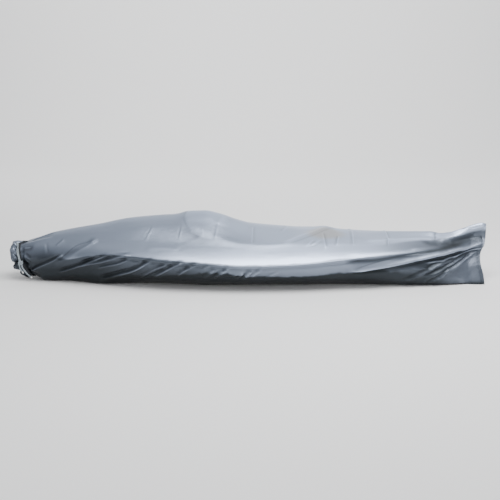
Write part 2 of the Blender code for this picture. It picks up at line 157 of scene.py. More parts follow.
def read(table, places, flat_ends: bool = False, column: int = 1) -> np.ndarray:
    """One column of a table as a smooth curve over its first column, at the places."""
    rows = np.array(table, float)
    flat = np.ravel(places)
    return smooth(rows[:, 0], rows[:, column], flat, flat_ends)[0].reshape(np.shape(places))


def eased(places, start: float, end: float) -> np.ndarray:
    """0 before start, 1 past end, and 3t^2 - 2t^3 between them."""
    t = np.clip((np.asarray(places) - start) / (end - start), 0.0, 1.0)
    return t * t * (3 - 2 * t)


def runs(first: float, rows) -> np.ndarray:
    """Stations from first on, through rows of where each run ends and how many even steps it takes."""
    places = [np.array([first])]
    for end, steps in rows:
        places.append(np.linspace(places[-1][-1], end, steps + 1)[1:])
    return np.concatenate(places)


def bell(away: np.ndarray) -> np.ndarray:
    """e to the minus square: 1 at 0, fading both ways."""
    return np.exp(-(away**2))


def unit(vectors: np.ndarray) -> np.ndarray:
    """The vectors at length 1."""
    return vectors / np.maximum(np.linalg.norm(vectors, axis=-1, keepdims=True), 1e-12)


def lengths_along(points: np.ndarray) -> np.ndarray:
    """How far along a line of points each one lies."""
    return np.concatenate([[0], np.cumsum(np.linalg.norm(np.diff(points, axis=0), axis=1))])


def blended(corners: list, s: np.ndarray, t: np.ndarray) -> np.ndarray:
    """Two rows of two corner values, blended by t along each row and by s from row to row."""
    low, high = (row[0] * (1 - t) + row[1] * t for row in corners)
    return low * (1 - s) + high * s


def grid_normals(points: np.ndarray) -> np.ndarray:
    """Unit normals of a grid: the cross product of its direction along the rows and that across them."""
    return unit(np.cross(np.gradient(points, axis=0), np.gradient(points, axis=1)))


def value_noise(u: np.ndarray, v: np.ndarray, cell_u: float, cell_v: float, seed: int) -> np.ndarray:
    """Smooth noise from -1 to 1: seeded values at the corners of cells, blended by 3t^2 - 2t^3.

    Args:
        u: First coordinate, in metres.
        v: Second coordinate, in metres.
        cell_u: Size of a cell along u.
        cell_v: Size of a cell along v.
        seed: Which noise.

    Returns:
        An array of the shape of u.
    """
    lattice = np.random.default_rng(seed).uniform(-1, 1, (128, 128))
    a, b = u / cell_u, v / cell_v
    i, j = np.floor(a).astype(int), np.floor(b).astype(int)
    corners = [[lattice[(i + m) % 128, (j + n) % 128] for n in (0, 1)] for m in (0, 1)]
    return blended(corners, eased(a - i, 0, 1), eased(b - j, 0, 1))


# Meshes


def grid_faces(rows: int, columns: int, close_rows: bool = False, close_columns: bool = False) -> np.ndarray:
    """Four-cornered faces of a grid of points, joined round where asked."""
    grid = np.arange(rows * columns).reshape(rows, columns)
    if close_rows:
        grid = np.concatenate([grid, grid[:1]])
    if close_columns:
        grid = np.concatenate([grid, grid[:, :1]], axis=1)
    return np.stack([grid[:-1, :-1], grid[1:, :-1], grid[1:, 1:], grid[:-1, 1:]], axis=-1).reshape(-1, 4)


def linked(name: str, data: bpy.types.ID) -> Piece:
    """A new object at the origin, linked to the scene."""
    made = bpy.data.objects.new(name, data)
    bpy.context.scene.collection.objects.link(made)
    return made


def mesh_piece(name: str, points: np.ndarray, faces: np.ndarray, uv=None, look=None) -> Piece:
    """A smooth-shaded mesh object at the origin.

    Args:
        name: The piece's name.
        points: Its points, in metres.
        faces: Four corners for each face.
        uv: A map in metres, one pair for each corner of each face in order, or none.
        look: Its material, or none.

    Returns:
        The object, linked to the scene.
    """
    mesh = bpy.data.meshes.new(name)
    mesh.vertices.add(len(points))
    mesh.vertices.foreach_set("co", np.asarray(points, np.float32).ravel())
    mesh.loops.add(faces.size)
    mesh.loops.foreach_set("vertex_index", np.asarray(faces, np.int32).ravel())
    mesh.polygons.add(len(faces))
    mesh.polygons.foreach_set("loop_start", np.arange(0, faces.size, faces.shape[1], dtype=np.int32))
    mesh.update(calc_edges=True)
    if uv is not None:
        layer = mesh.uv_layers.new(name="cloth_map")
        layer.data.foreach_set("uv", np.asarray(uv, np.float32).ravel())
    mesh.validate()
    mesh.shade_smooth()
    if look is not None:
        mesh.materials.append(look)
    return linked(name, mesh)


def corner_uv(u: np.ndarray, v: np.ndarray, close_rows: float = 0, close_columns: float = 0) -> np.ndarray:
    """The map of a grid's faces, corner by corner, with the run round each closed way in metres."""
    if close_rows:
        u, v = np.concatenate([u, u[:1] + close_rows]), np.concatenate([v, v[:1]])
    if close_columns:
        u, v = np.concatenate([u, u[:, :1]], axis=1), np.concatenate([v, v[:, :1] + close_columns], axis=1)
    both = np.stack([u, v], axis=-1)
    return np.stack([both[:-1, :-1], both[1:, :-1], both[1:, 1:], both[:-1, 1:]], axis=2).reshape(-1, 2)


def tube(route: np.ndarray, radius: np.ndarray | float, braid: float = 0.0, sides: int = 16) -> tuple:
    """A round tube along a route, with closed ends.

    Its rings stand square to the route, their frame carried along it without twist. The radius is swelled by
    braid times cos(4a + kl) cos(4a - kl), where a is the angle round it and l the length along it, which
    gives the diamonds of a braided cord.

    Args:
        route: Points along its middle.
        radius: Its radius, or one for each point.
        braid: Height of the braid, as a share of the radius.
        sides: Corners of a ring.

    Returns:
        Its points, faces and map.
    """
    radius = np.broadcast_to(radius, len(route))
    tangent = unit(np.gradient(route, axis=0))
    side = np.zeros_like(route)
    guide = np.array([0.0, 1.0, 0.0]) if abs(tangent[0][1]) < 0.9 else np.array([1.0, 0.0, 0.0])
    for i, direction in enumerate(tangent):
        guide = unit(guide - direction * (guide @ direction))
        side[i] = guide
    other = np.cross(tangent, side)
    angle, along = np.meshgrid(np.linspace(0, 2 * math.pi, sides, endpoint=False), lengths_along(route))
    swell = 1 + braid * np.cos(4 * angle + 700 * along) * np.cos(4 * angle - 700 * along)
    ring = np.cos(angle)[..., None] * side[:, None, :] + np.sin(angle)[..., None] * other[:, None, :]
    rings = route[:, None, :] + (radius[:, None] * swell)[..., None] * ring
    points = np.concatenate([rings.reshape(-1, 3), route[:1], route[-1:]])
    first, last = np.arange(sides), np.arange(sides) + (len(route) - 1) * sides
    start, end = (np.full(sides, len(points) - back) for back in (2, 1))
    faces = [grid_faces(len(route), sides, close_columns=True)]
    faces.append(np.stack([np.roll(first, -2), np.roll(first, -1), first, start], axis=-1)[::2])
    faces.append(np.stack([last, np.roll(last, -1), np.roll(last, -2), end], axis=-1)[::2])
    ground = corner_uv(along, angle * radius[:, None], close_columns=2 * math.pi * float(radius.mean()))
    return points, np.concatenate(faces), np.concatenate([ground, np.zeros((4 * sides, 2))])


def joined(parts: list[tuple]) -> tuple:
    """Several tubes' points, faces and maps as those of one piece."""
    points, faces, uv = zip(*parts)
    shifts = np.cumsum([0] + [len(part) for part in points[:-1]])
    return np.concatenate(points), np.concatenate([f + s for f, s in zip(faces, shifts)]), np.concatenate(uv)


def spaced(route: np.ndarray, step: float) -> np.ndarray:
    """Points an even step apart along the smooth curve through a route's points."""
    route = np.array(route, float)
    lengths = lengths_along(route)
    return smooth(lengths, route.T, np.linspace(0, lengths[-1], math.ceil(lengths[-1] / step) + 1)).T


# Shader graphs


class Wire:
    """One output of a shader node. Arithmetic on it adds Math nodes."""

    def __init__(self, graph: Graph, socket: bpy.types.NodeSocket) -> None:
        """Keeps the graph that the socket belongs to."""
        self.graph, self.socket = graph, socket

    def math(self, operation: str, *values: Value) -> Wire:
        """A Math node on the values."""
        return self.graph.node("ShaderNodeMath", {"operation": operation}, dict(enumerate(values)))

    def __add__(self, other: Value) -> Wire:
        """This plus the other."""
        return self.math("ADD", self, other)

    def __sub__(self, other: Value) -> Wire:
        """This less the other."""
        return self.math("SUBTRACT", self, other)

    def __rsub__(self, other: Value) -> Wire:
        """The other less this."""
        return self.math("SUBTRACT", other, self)

    def __mul__(self, other: Value) -> Wire:
        """This times the other."""
        return self.math("MULTIPLY", self, other)

    __radd__, __rmul__ = __add__, __mul__

    def sine(self) -> Wire:
        """The sine of this, in radians."""
        return self.math("SINE", self)

    def size(self) -> Wire:
        """This without its sign."""
        return self.math("ABSOLUTE", self)

    def within(self) -> Wire:
        """This, kept from 0 to 1."""
        return self.math("MAXIMUM", self.math("MINIMUM", self, 1.0), 0.0)


class Graph:
    """A material's node graph round its Principled shader."""

    def __init__(self, name: str) -> None:
        """Makes the material."""
        self.material = bpy.data.materials.new(name)
        self.material.use_nodes = True
        self.tree = self.material.node_tree
        self.shader = self.tree.nodes["Principled BSDF"]

    def put(self, socket: bpy.types.NodeSocket, value: Value) -> None:
        """Links a wire to a socket, or sets the value on it."""
        if isinstance(value, Wire):
            self.tree.links.new(value.socket, socket)
        else:
            socket.default_value = value

    def node(self, kind: str, settings: dict | None = None, inputs: dict | None = None, output=0) -> Wire:
        """Adds a node.

        Args:
            kind: Its type.
            settings: Its properties, set first.
            inputs: A value or a wire for each socket, by name or number.
            output: The output to return, by name or number.

        Returns:
            That output.
        """
        made = self.tree.nodes.new(kind)
        for key, value in (settings or {}).items():
            setattr(made, key, value)
        for key, value in (inputs or {}).items():
            self.put(made.inputs[key], value)
        return Wire(self, made.outputs[output])

    def attribute(self, name: str) -> Wire:
        """A value stored on the points."""
        return self.node("ShaderNodeAttribute", {"attribute_name": name}, output="Fac")

    def ground(self) -> tuple[Wire, Wire, Wire]:
        """The piece's own map in metres: the vector, and its parts along and across."""
        ground = self.node("ShaderNodeUVMap", {"uv_map": "cloth_map"})
        parts = (self.node("ShaderNodeSeparateXYZ", None, {"Vector": ground}, part) for part in (0, 1))
        return ground, *parts

    def mix(self, part: Value, first: Value, second: Value, **settings: bool) -> Wire:
        """A Mix node on two colours."""
        one, other = (end if isinstance(end, Wire) else (*end, 1.0) for end in (first, second))
        return self.node("ShaderNodeMix", {"data_type": "RGBA", **settings}, {0: part, 6: one, 7: other}, 2)

    def noise(self, where: Wire, scale: float | tuple, detail: float, rough: float, turn: float = 0) -> Wire:
        """Noise from 0 to 1 at a vector, which two scales stretch once it is turned about Z."""
        if isinstance(scale, tuple):
            inputs = {"Vector": where, "Scale": (*scale, 1.0), "Rotation": (0, 0, turn)}
            where, scale = self.node("ShaderNodeMapping", None, inputs), 1.0
        inputs = {"Vector": where, "Scale": scale, "Detail": detail, "Roughness": rough}
        return self.node("ShaderNodeTexNoise", None, inputs)

    def bump(self, height: Wire, distance: float, strength: float = 1.0, **normal: Wire) -> Wire:
        """A Bump node on a height from 0 to 1, over the Normal of another one."""
        inputs = {"Height": height, "Distance": distance, "Strength": strength}
        return self.node("ShaderNodeBump", None, inputs | normal)

    def set(self, **values: Value) -> bpy.types.Material:
        """Sets or links the shader's sockets, named in lower case with lines for spaces."""
        for name, value in values.items():
            self.put(self.shader.inputs[name.replace("_", " ").title()], value)
        return self.material


@dataclass(frozen=True)
class SilverCloth:
    """Woven polyester with a silver coating: a soft metal sheen, fine weave, mottled and creased."""

    light: Colour = (0.50, 0.585, 0.75)
    dull: Colour = (0.42, 0.485, 0.615)
    # painted shade: the near-black that the underside's painted shade mixes the colour down to
    painted_belly_shade: Colour = (0.010, 0.013, 0.014)
    stained: Colour = (0.56, 0.555, 0.55)
    roughness: float = 0.38
    metal: float = 0.75
    thread: float = 0.0009

    def material(self) -> bpy.types.Material:
        """Builds the material. It reads the map in metres, the attributes for the painted light and shade
        (with the stain's darkening), and stain, ridge and slack.

        Crumples are 1 less the size of a noise from -1 to 1, and the weave is the product of two sines.
        """
        graph = Graph("silver_cloth_look")
        ground, along, across = graph.ground()
        painted_light_and_stain, stain, ridge, slack = (graph.attribute(name) for name in ("painted_light_and_stain", "stain", "ridge", "slack"))
        cloud = graph.noise(ground, (2.2, 4.0), 4.0, 0.55)
        mottle = graph.noise(ground, (34.0, 46.0), 4.0, 0.62, 0.5)
        broad = graph.noise(ground, (9.0, 17.0), 4.0, 0.55, 0.6)
        close = graph.noise(ground, (38.0, 55.0), 3.0, 0.5, 0.4)
        crumple, fine = (1.0 - (noise * 2.0 - 1.0).size() for noise in (broad, close))
        # random mottle, and painted shade: the colour turns duller and darker in the hollows, where ridge is
        # low
        mottle_and_hollow_shade = (0.75 * cloud + 0.9 * mottle * slack + 0.25 * (1.0 - ridge) - 0.1).within()
        coat = graph.mix(stain * 0.75, graph.mix(mottle_and_hollow_shade, self.light, self.dull), self.stained)
        pitch = 2 * math.pi / self.thread
        weave = (along * pitch).sine() * (across * pitch).sine()
        folds = graph.bump(crumple * (0.25 + 0.75 * slack), 0.0022)
        creased = graph.bump(fine * (0.35 + 0.65 * slack), 0.0007, 0.8, Normal=folds)
        # painted light and shade: the coat mixed down towards the painted belly shade, and past it for painted
        # highlights
        return graph.set(
            base_color=graph.mix(painted_light_and_stain, self.painted_belly_shade, coat, clamp_factor=False, clamp_result=False),
            roughness=self.roughness + 0.10 * mottle * slack - 0.05 * ridge,
            metallic=self.metal,
            normal=graph.bump(weave, 0.00005, 0.5, Normal=creased),
        )


@dataclass(frozen=True)
class BlackWebbing:
    """Woven black webbing with a fine twill across it."""

    colour: Colour = (0.010, 0.012, 0.016)
    wear_and_painted_shade: Colour = (0.030, 0.034, 0.040)
    roughness: float = 0.72
    rib: float = 0.0016

    def material(self) -> bpy.types.Material:
        """Builds the material. The twill is the sine of the sum of both map coordinates."""
        graph = Graph("black_webbing_look")
        ground, along, across = graph.ground()
        twill = ((along + across) * (2 * math.pi / self.rib)).sine() * 0.5 + 0.5
        wear_and_painted_shade = (twill * 0.5 + graph.noise(ground, 90.0, 4.0, 0.6) * 0.5 - 0.1).within()
        colour = graph.mix(wear_and_painted_shade, self.colour, self.wear_and_painted_shade)
        return graph.set(base_color=colour, roughness=self.roughness, normal=graph.bump(twill, 0.0003))


@dataclass(frozen=True)
class PaleCord:
    """Soft braided cord, pale blue-grey, painted darker in the grooves between its strands as shade, and
    flecked by a noise.
    """

    colour: Colour = (0.40, 0.46, 0.50)
    fleck_and_groove_shade: Colour = (0.12, 0.145, 0.17)
    roughness: float = 0.66
    strand: float = 0.0022

    def material(self) -> bpy.types.Material:
        """Builds the material. Two sets of slanting strands cross: the product of their sines. Where it is
        small, in the grooves, the colour is painted darker as shade.
        """
        graph = Graph("pale_cord_look")
        ground, along, around = graph.ground()
        pitch = math.pi / self.strand
        braid = (((along + around) * pitch).sine() * ((along - around) * pitch).sine()).size()
        # painted shade in the grooves between strands, with a noise for uneven flecks
        pale = (braid * 1.3 + graph.noise(ground, 420.0, 3.0, 0.6) * 0.4 - 0.05).within()
        colour = graph.mix(pale, self.fleck_and_groove_shade, self.colour)
        return graph.set(base_color=colour, roughness=self.roughness, normal=graph.bump(braid, 0.0005))


@dataclass(frozen=True)
class WhiteTip:
    """A hard white sleeve shrunk on to the cord, a little soiled."""

    colour: Colour = (0.82, 0.82, 0.81)
    soil: Colour = (0.52, 0.50, 0.47)
    roughness: float = 0.38

    def material(self) -> bpy.types.Material:
        """Builds the material, soiled by a noise."""
        graph = Graph("white_tip_look")
        soil = graph.noise(graph.node("ShaderNodeTexCoord", output="Object"), 260.0, 4.0, 0.6)
        colour = graph.mix((soil * 1.6 - 0.75).within(), self.colour, self.soil)
        rough = self.roughness + 0.2 * soil
        return graph.set(base_color=colour, roughness=rough, normal=graph.bump(soil, 0.0002))


@dataclass(frozen=True)
class Thread:
    """Grey sewing thread."""

    colour: Colour = (0.30, 0.33, 0.37)
    roughness: float = 0.6

    def material(self) -> bpy.types.Material:
        """Builds the material, darker by 0.6 between the twists of a noise."""
        graph = Graph("thread_look")
        twist = graph.noise(graph.node("ShaderNodeTexCoord", output="Object"), 900.0, 2.0, 0.5)
        colour = graph.mix(twist, tuple(part * 0.6 for part in self.colour), self.colour)
        return graph.set(base_color=colour, roughness=self.roughness, normal=graph.bump(twist, 0.0002))


# The sleeve

N, F, B = Side.NEAR, Side.FAR, Side.BOTH


@dataclass
class Sleeve:
    """The cloth: a long sleeve, gathered at the mouth and sewn flat at the stern, lapped along the keel.

    Rows of its tables: an oval is its x, half width, low and high; a section its x, then how far from the
    middle and how high its brow, deck, rail, chine and foot lie; a neck bow its place and how far the ring is
    pushed along X at the band and at the hem; a pleat its place, half width and share of the depth; a shade
    its x, then the painted light and shade of the deck, the band over the rail, the cloth under it, halfway
    down and the belly; a wave its height, slant, two cells and seed. A fold's row is its side, width, height,
    hollow, crest, light and dark (its painted highlight and painted shade), then its spots.
    """

    corners: tuple = (0.0, 0.14, 0.30, 0.50, 0.70, 0.86, 1.0)
    mouth: float = -1.487
    stern: float = 1.505
    ovals: tuple = thousandths(4,
        -1487, 86, 6, 234,  -1450, 92, 0, 242,  -1416, 78, 12, 237,  -1386, 78, 12, 237,  -1360, 92, 2, 248,
    )
    oval_angles: tuple = (0, 28, 50, 90, 125, 155, 180)
    crown_line: tuple = thousandths(2,
        -1300, 268,  -1216, 297,  -1122, 317,  -932, 350,  -743, 388,  -554, 406,  -440, 413,  -364, 431,
        -270, 434,  -175, 414,  -80, 381,  14, 355,  204, 336,  393, 322,  480, 330,  582, 312,
        771, 300,  1150, 300,  1213, 290,  1270, 294,  1339, 310,  1455, 340,  1505, 346,
    )
    sections: tuple = thousandths(11,
        -1300, 52, 252, 84, 220, 112, 134, 106, 48, 70, 0,
        -1147, 60, 288, 108, 236, 155, 152, 130, 56, 70, 0,
        -882, 80, 326, 152, 270, 235, 203, 192, 60, 140, 0,
        -617, 98, 366, 190, 291, 307, 187, 246, 62, 110, 0,
        -420, 112, 373, 220, 287, 342, 176, 280, 64, 125, 0,
        -270, 125, 372, 236, 277, 358, 170, 295, 66, 140, 0,
        0, 132, 319, 248, 264, 372, 161, 310, 69, 135, 0,
        300, 128, 304, 240, 262, 362, 167, 304, 70, 125, 0,
        480, 116, 302, 222, 264, 342, 178, 286, 70, 125, 0,
        600, 104, 294, 200, 262, 320, 186, 270, 70, 130, 0,
        900, 76, 282, 150, 254, 238, 198, 204, 73, 110, 0,
        1150, 44, 276, 90, 248, 140, 202, 122, 78, 66, 0,
        1330, 20, 286, 40, 254, 56, 196, 50, 86, 26, 10,
        1430, 4, 304, 6, 260, 8, 192, 8, 90, 6, 24,
        1505, 3, 310, 3, 264, 3, 190, 3, 90, 3, 30,
    )
    neck_bows: tuple = thousandths(3,
        0, 0, 4,  130, -33, 3,  300, -34, -2,  420, -27, 6,  500, -19, 12,  580, -6, 14,  700, 13, 40,
        860, 30, 60,  1000, 38, 70,
    )
    neck_bow_end: tuple = (-1.36, -1.12)
    hem_bow_start: float = -1.416
    lean: tuple = thousandths(2,
        0, -160,  100, -112,  190, -52,  215, -50,  260, -12,  346, 20,
    )
    lean_start: float = 0.55
    stern_edge: tuple = thousandths(2,
        0, 41,  50, 44,  120, 57,  165, 51,  200, 40,  225, 25,  270, 9,  346, 3,
    )
    stern_edge_start: float = 1.15
    thinnest: float = 0.0026
    rows: tuple = ((-1.3, 66), (-0.95, 72), (-0.35, 82), (0.55, 74), (1.0, 42), (1.47, 84), (1.505, 8))
    near_columns: tuple = ((0.28, 30), (0.42, 26), (0.56, 44), (0.72, 32), (1.0, 14))
    far_columns: tuple = ((0.28, 14), (0.42, 10), (0.56, 16), (0.72, 14), (1.0, 9))
    pleats: tuple = thousandths(3,
        85, 40, 300,  210, 40, 320,  345, 45, 400,  530, 50, 1000,  705, 50, 1000,  870, 45, 800,
        28, 14, 100,  140, 13, 100,  268, 16, 120,  305, 11, 80,  415, 18, 140,  462, 13, 100,  600, 18, 200,
        650, 14, 120,  785, 20, 300,  940, 16, 250,
    )
    pleat_rise: float = 0.03
    pleat_depth: tuple = thousandths(2,
        -1487, 20,  -1450, 22,  -1416, 16,  -1386, 16,  -1350, 10,  -1250, 0,
    )
    pleat_shadow: float = 70.0
    shallow: float = 0.35
    hem_notch: float = 0.008
    rim_middle: float = 0.04
    rim_half_length: float = 0.44
    rim_half_width: float = 0.235
    rim_softness: float = 0.10
    rim_height: float = 0.003
    # where the painted shade under the rail begins: place against x
    rail_line: tuple = thousandths(2,
        -1487, 560,  -1300, 520,  -1110, 500,  -960, 506,  -840, 488,  -700, 474,  -580, 480,  -50, 486,
        250, 482,  480, 475,  730, 460,  900, 455,
    )
    rail_end: tuple = (0.62, 0.92)
    hem_depth: float = 0.024
    cloth: float = 0.0012
    keel_lap: float = 0.012
    # each fold's light and dark are its painted highlight along its line and painted shade in its trough
    folds: tuple = (
        # bow, near side
        (N, 110, 130, 50, 25, 105, 35, -1390, 690, -1345, 640, -1235, 536, -1180, 484, -1148, 436,
         -1135, 400),
        (N, 190, 80, 50, 50, 22, 30, -1205, 545, -1178, 520, -1085, 472, -1013, 404, -975, 356, -915, 262),
        (N, 100, 110, 60, 25, 110, 40, -1190, 672, -1163, 656, -1065, 604, -973, 568, -911, 540, -835, 496),
        (N, 110, 110, 60, 30, 60, 40, -1045, 600, -1023, 592, -878, 560, -798, 512, -695, 460),
        (N, 90, 80, 60, 30, 50, 30, -930, 625, -911, 616, -796, 572, -695, 490),
        (N, 110, 130, 70, 25, 95, 45, -930, 765, -903, 740, -803, 672, -723, 632, -654, 580, -604, 524,
         -560, 488),
        (N, 100, 100, 60, 25, 65, 40, -580, 672, -556, 648, -496, 588, -449, 536, -404, 500, -380, 492),
        (N, 90, 70, 40, 30, 40, 20, -660, 685, -641, 668, -544, 564, -455, 494),
        (N, 70, -40, 0, 20, -50, 0, -675, 735, -656, 716, -586, 636, -496, 568, -425, 492),
        (N, 100, 90, 60, 30, 60, 35, -430, 640, -411, 616, -342, 530, -290, 494),
        (N, 80, 50, 50, 30, 40, 25, -268, 540, -247, 518, -215, 494),
        (N, 100, -40, 0, 40, -30, 0, -1160, 500, -1100, 384, -1048, 312, -945, 262),
        # the rail
        (N, 100, 50, -90, 30, 10, 15, -1120, 502, -1025, 508, -960, 514, -841, 488, -703, 476, -579, 482,
         -282, 488, 247, 488, 484, 478, 734, 462, 800, 462),
        # stern, near side
        (N, 130, 210, -60, 60, 105, 120, 580, 618, 637, 610, 766, 594, 876, 580, 1003, 556, 1103, 541,
         1173, 527, 1248, 504, 1328, 472, 1437, 434, 1510, 418),
        (N, 30, -20, 0, 10, -35, 0, 720, 600, 766, 592, 876, 578, 1003, 554, 1103, 539, 1173, 525, 1248, 502,
         1328, 470, 1437, 432, 1530, 414),
        (N, 180, 20, 0, 40, 95, 0, 1000, 546, 1171, 518, 1328, 448, 1445, 408, 1590, 380),
        (N, 70, 80, -50, 25, 160, 40, 1050, 590, 1111, 594, 1191, 590, 1275, 566, 1390, 524, 1540, 470),
        (N, 260, -120, 0, 80, -145, 0, 560, 500, 607, 504, 751, 520, 834, 508, 941, 488, 1026, 466,
         1113, 440, 1285, 380, 1400, 330),
        (N, 50, -30, 0, 20, -40, 0, 640, 590, 667, 580, 744, 556, 826, 536, 890, 525),
        (N, 340, -80, 0, 120, -72, 0, 1060, 250, 1138, 280, 1260, 305, 1358, 300, 1437, 305, 1560, 290),
        (N, 180, 40, 0, 60, 16, 0, 700, 235, 760, 225, 960, 190, 1080, 180, 1175, 205),
        (N, 140, 40, 0, 40, 15, 0, 970, 385, 1011, 380, 1188, 385, 1300, 390, 1360, 390),
        (N, 90, 90, 60, 30, 35, 55, 930, 765, 959, 748, 1043, 700, 1108, 656, 1191, 612, 1330, 570),
        (N, 80, 40, 50, 30, 45, 20, 980, 625, 1001, 628, 1118, 644, 1140, 648),
        (N, 80, 90, 80, 25, 25, 65, 1065, 735, 1088, 720, 1173, 676, 1243, 640, 1330, 596, 1400, 555),
        (N, 70, 60, 50, 25, 20, 35, 1050, 785, 1068, 772, 1116, 728, 1171, 696, 1265, 645),
        (N, 80, 90, 80, 25, 45, 65, 1090, 800, 1108, 784, 1173, 732, 1238, 676, 1370, 612, 1470, 540),
        (N, 240, 90, -60, 60, 60, 25, 1165, 255, 1190, 238, 1298, 172, 1403, 85, 1530, 20),
        (N, 70, -40, 0, 20, -70, 0, 1186, -30, 1183, -16, 1166, 188, 1160, 215),
        # the bulge: the lobe over its front and the back of its rim
        (N, 120, -30, 0, 40, -6, 0, -350, -30, -372, -12, -398, 80, -380, 156, -330, 220, -285, 255),
        (N, 200, 30, 0, 80, 20, 0, 200, 262, 225, 248, 320, 152, 469, 32, 500, 10),
        (N, 90, -20, 0, 30, -26, 0, 230, 270, 255, 260, 347, 192, 532, 20, 550, 0),
        (N, 80, 22, -60, 20, 26, 22, 350, 310, 355, 300, 395, 224, 402, 210),
        (N, 80, 22, -60, 20, 26, 22, 371, 310, 377, 300, 442, 224, 452, 212),
        (N, 160, 20, 0, 40, 12, 0, -140, 20, -147, 40, -187, 112, -195, 130),
        # crumples under the rail amidships
        (N, 90, 60, 70, 30, 40, 30, -270, 665, -257, 648, -199, 540, -190, 525),
        (N, 80, 60, 70, 30, 35, 30, -212, 675, -202, 660, -152, 548, -143, 530),
        (N, 80, 70, 80, 30, 45, 35, -190, 635, -179, 620, -112, 512, -100, 495),
        (N, 70, 50, -70, 20, 35, 30, -111, 535, -107, 556, -95, 632, -70, 604, -55, 585),
        (N, 80, 70, -80, 30, 40, 35, -62, 665, -52, 644, -30, 568, -24, 500),
        (N, 90, 70, 80, 30, 35, 35, -38, 690, -30, 672, 25, 536, 32, 515),
        (N, 90, 50, 70, 30, 25, 25, 17, 645, 25, 624, 83, 520, 92, 505),
        (N, 90, 30, 60, 30, 15, 15, 100, 670, 110, 655, 180, 570, 195, 555),
        (N, 200, 20, 0, 60, 12, 0, -620, 385, -545, 372, -470, 366, -400, 375),
        # small creases of the bow
        (N, 70, 22, 60, 20, 15, 18, -1247, 230, -1245, 252, -1235, 408, -1233, 430),
        (N, 80, 32, 50, 20, 25, 20, -1135, 205, -1140, 224, -1178, 312, -1185, 330),
        (N, 160, 20, 0, 40, 28, 0, -965, 315, -950, 300, -930, 270, -920, 255),
        (N, 70, 30, 0, 20, 95, 0, -1372, 268, -1350, 284, -1330, 296, -1312, 298),
        (N, 80, 60, 70, 20, 60, 60, -1375, 395, -1362, 412, -1345, 444, -1330, 470),
        (N, 60, 40, 70, 20, 50, 50, -1372, 470, -1362, 480, -1350, 516, -1345, 540),
        (N, 90, 40, -70, 30, 20, 25, -1350, 60, -1335, 55, -1240, 30, -1200, 20),
        (N, 90, 40, 70, 30, 20, 25, -1360, 170, -1345, 168, -1250, 150, -1200, 140),
        # the ruffle and the puckers by the tie
        (N, 80, 50, -80, 20, 75, 35, -1489, 60, -1482, 76, -1427, 148, -1395, 180),
        (N, 80, 40, 80, 20, 40, 50, -1445, 255, -1437, 284, -1415, 348, -1402, 412),
        (N, 80, 40, 80, 20, 40, 50, -1462, 350, -1455, 372, -1427, 424, -1420, 500),
        (N, 100, 50, 80, 30, 50, 50, -1480, 480, -1470, 500, -1430, 552, -1425, 600),
        (N, 300, -40, 0, 60, -80, 0, -1395, 300, -1365, 298, -1340, 300, -1318, 304, -1295, 306),
        # creases from packing, round both sides
        (N, 60, 8, 70, 20, 10, 8, -575, 140, -581, 164, -619, 304, -625, 330),
        (N, 60, 6, 70, 20, 8, 6, -402, 140, -404, 168, -414, 268, -417, 290),
        (N, 60, 6, 70, 20, 10, 6, -279, 150, -277, 172, -272, 236, -271, 255),
        (N, 60, 8, 70, 20, 10, 14, -185, 110, -187, 136, -199, 260, -201, 285),
        (B, 60, 30, -70, 20, 15, 15, 29, 50, 28, 84, 23, 260, 22, 290),
        (N, 70, 25, 60, 20, 15, 15, 255, -10, 247, 16, 215, 88, 208, 110),
        (N, 60, 35, 70, 20, 28, 32, 462, 90, 462, 116, 464, 300, 464, 360),
        (N, 60, 30, 70, 20, 24, 32, 560, 135, 557, 160, 539, 300, 537, 325),
        (B, 60, 35, 70, 20, 26, 26, 653, -10, 652, 20, 639, 300, 637, 330),
        (B, 60, 35, 70, 20, 25, 25, 860, -30, 861, -8, 866, 172, 856, 324, 855, 350),
        (F, 60, 30, 70, 20, 20, 20, -602, 80, -600, 100, -570, 340, -568, 360),
        (F, 60, 30, 70, 20, 20, 20, -299, 100, -300, 120, -310, 340, -311, 360),
        (F, 60, 30, 70, 20, 20, 20, 328, 40, 330, 60, 345, 340, 346, 360),
        (F, 60, 30, 70, 20, 20, 20, 1059, 0, 1060, 20, 1075, 300, 1076, 320),
        # far side
        (F, 140, 140, 80, 30, 80, 50, -1360, 620, -1260, 590, -1170, 500, -1080, 360),
        (F, 140, 140, 60, 30, 80, 50, -1210, 770, -1050, 690, -890, 610, -740, 490),
        (F, 100, 80, 60, 30, 50, 30, -1000, 640, -900, 600, -810, 540, -740, 480),
        (F, 140, 130, 60, 30, 80, 40, -760, 770, -650, 700, -540, 600, -440, 480),
        (F, 110, 90, 60, 30, 60, 30, -420, 720, -360, 640, -300, 550, -240, 480),
        (F, 100, 50, -90, 30, 10, 15, -1100, 500, -600, 482, 100, 488, 840, 462),
        (F, 100, 70, 60, 30, 40, 30, -60, 690, -20, 640, 20, 570, 60, 510),
        (F, 100, 60, -60, 30, 35, 30, 120, 700, 150, 650, 190, 590, 230, 520),
        (F, 180, 200, -50, 60, 50, 80, 420, 690, 640, 640, 880, 590, 1120, 530, 1330, 460, 1530, 420),
        (F, 120, 100, 70, 30, 60, 40, 880, 800, 1050, 740, 1230, 650, 1380, 550),
        (F, 100, 90, 70, 30, 60, 40, 1080, 840, 1200, 770, 1330, 660, 1440, 540),
        (F, 240, -90, 0, 100, -50, 0, 700, 440, 900, 420, 1100, 380, 1300, 330),
        (F, 140, 70, -60, 40, 40, 30, 1170, 230, 1280, 170, 1390, 100, 1520, 30),
    )
    waves: tuple = ((0.0022, 0.8, 0.16, 0.05, 3), (0.0012, 0.8, 0.06, 0.022, 5), (0.0006, 0, 0.022, 0.014, 8))
    slack_mouth: tuple = (-1.40, -1.25)
    slack_stern: tuple = (1.02, 1.25)
    slack_under: tuple = (0.50, 0.60)
    slack_share: float = 0.62
    least_slack: float = 0.12
    fold_run: float = 0.025
    fold_step: float = 1.6
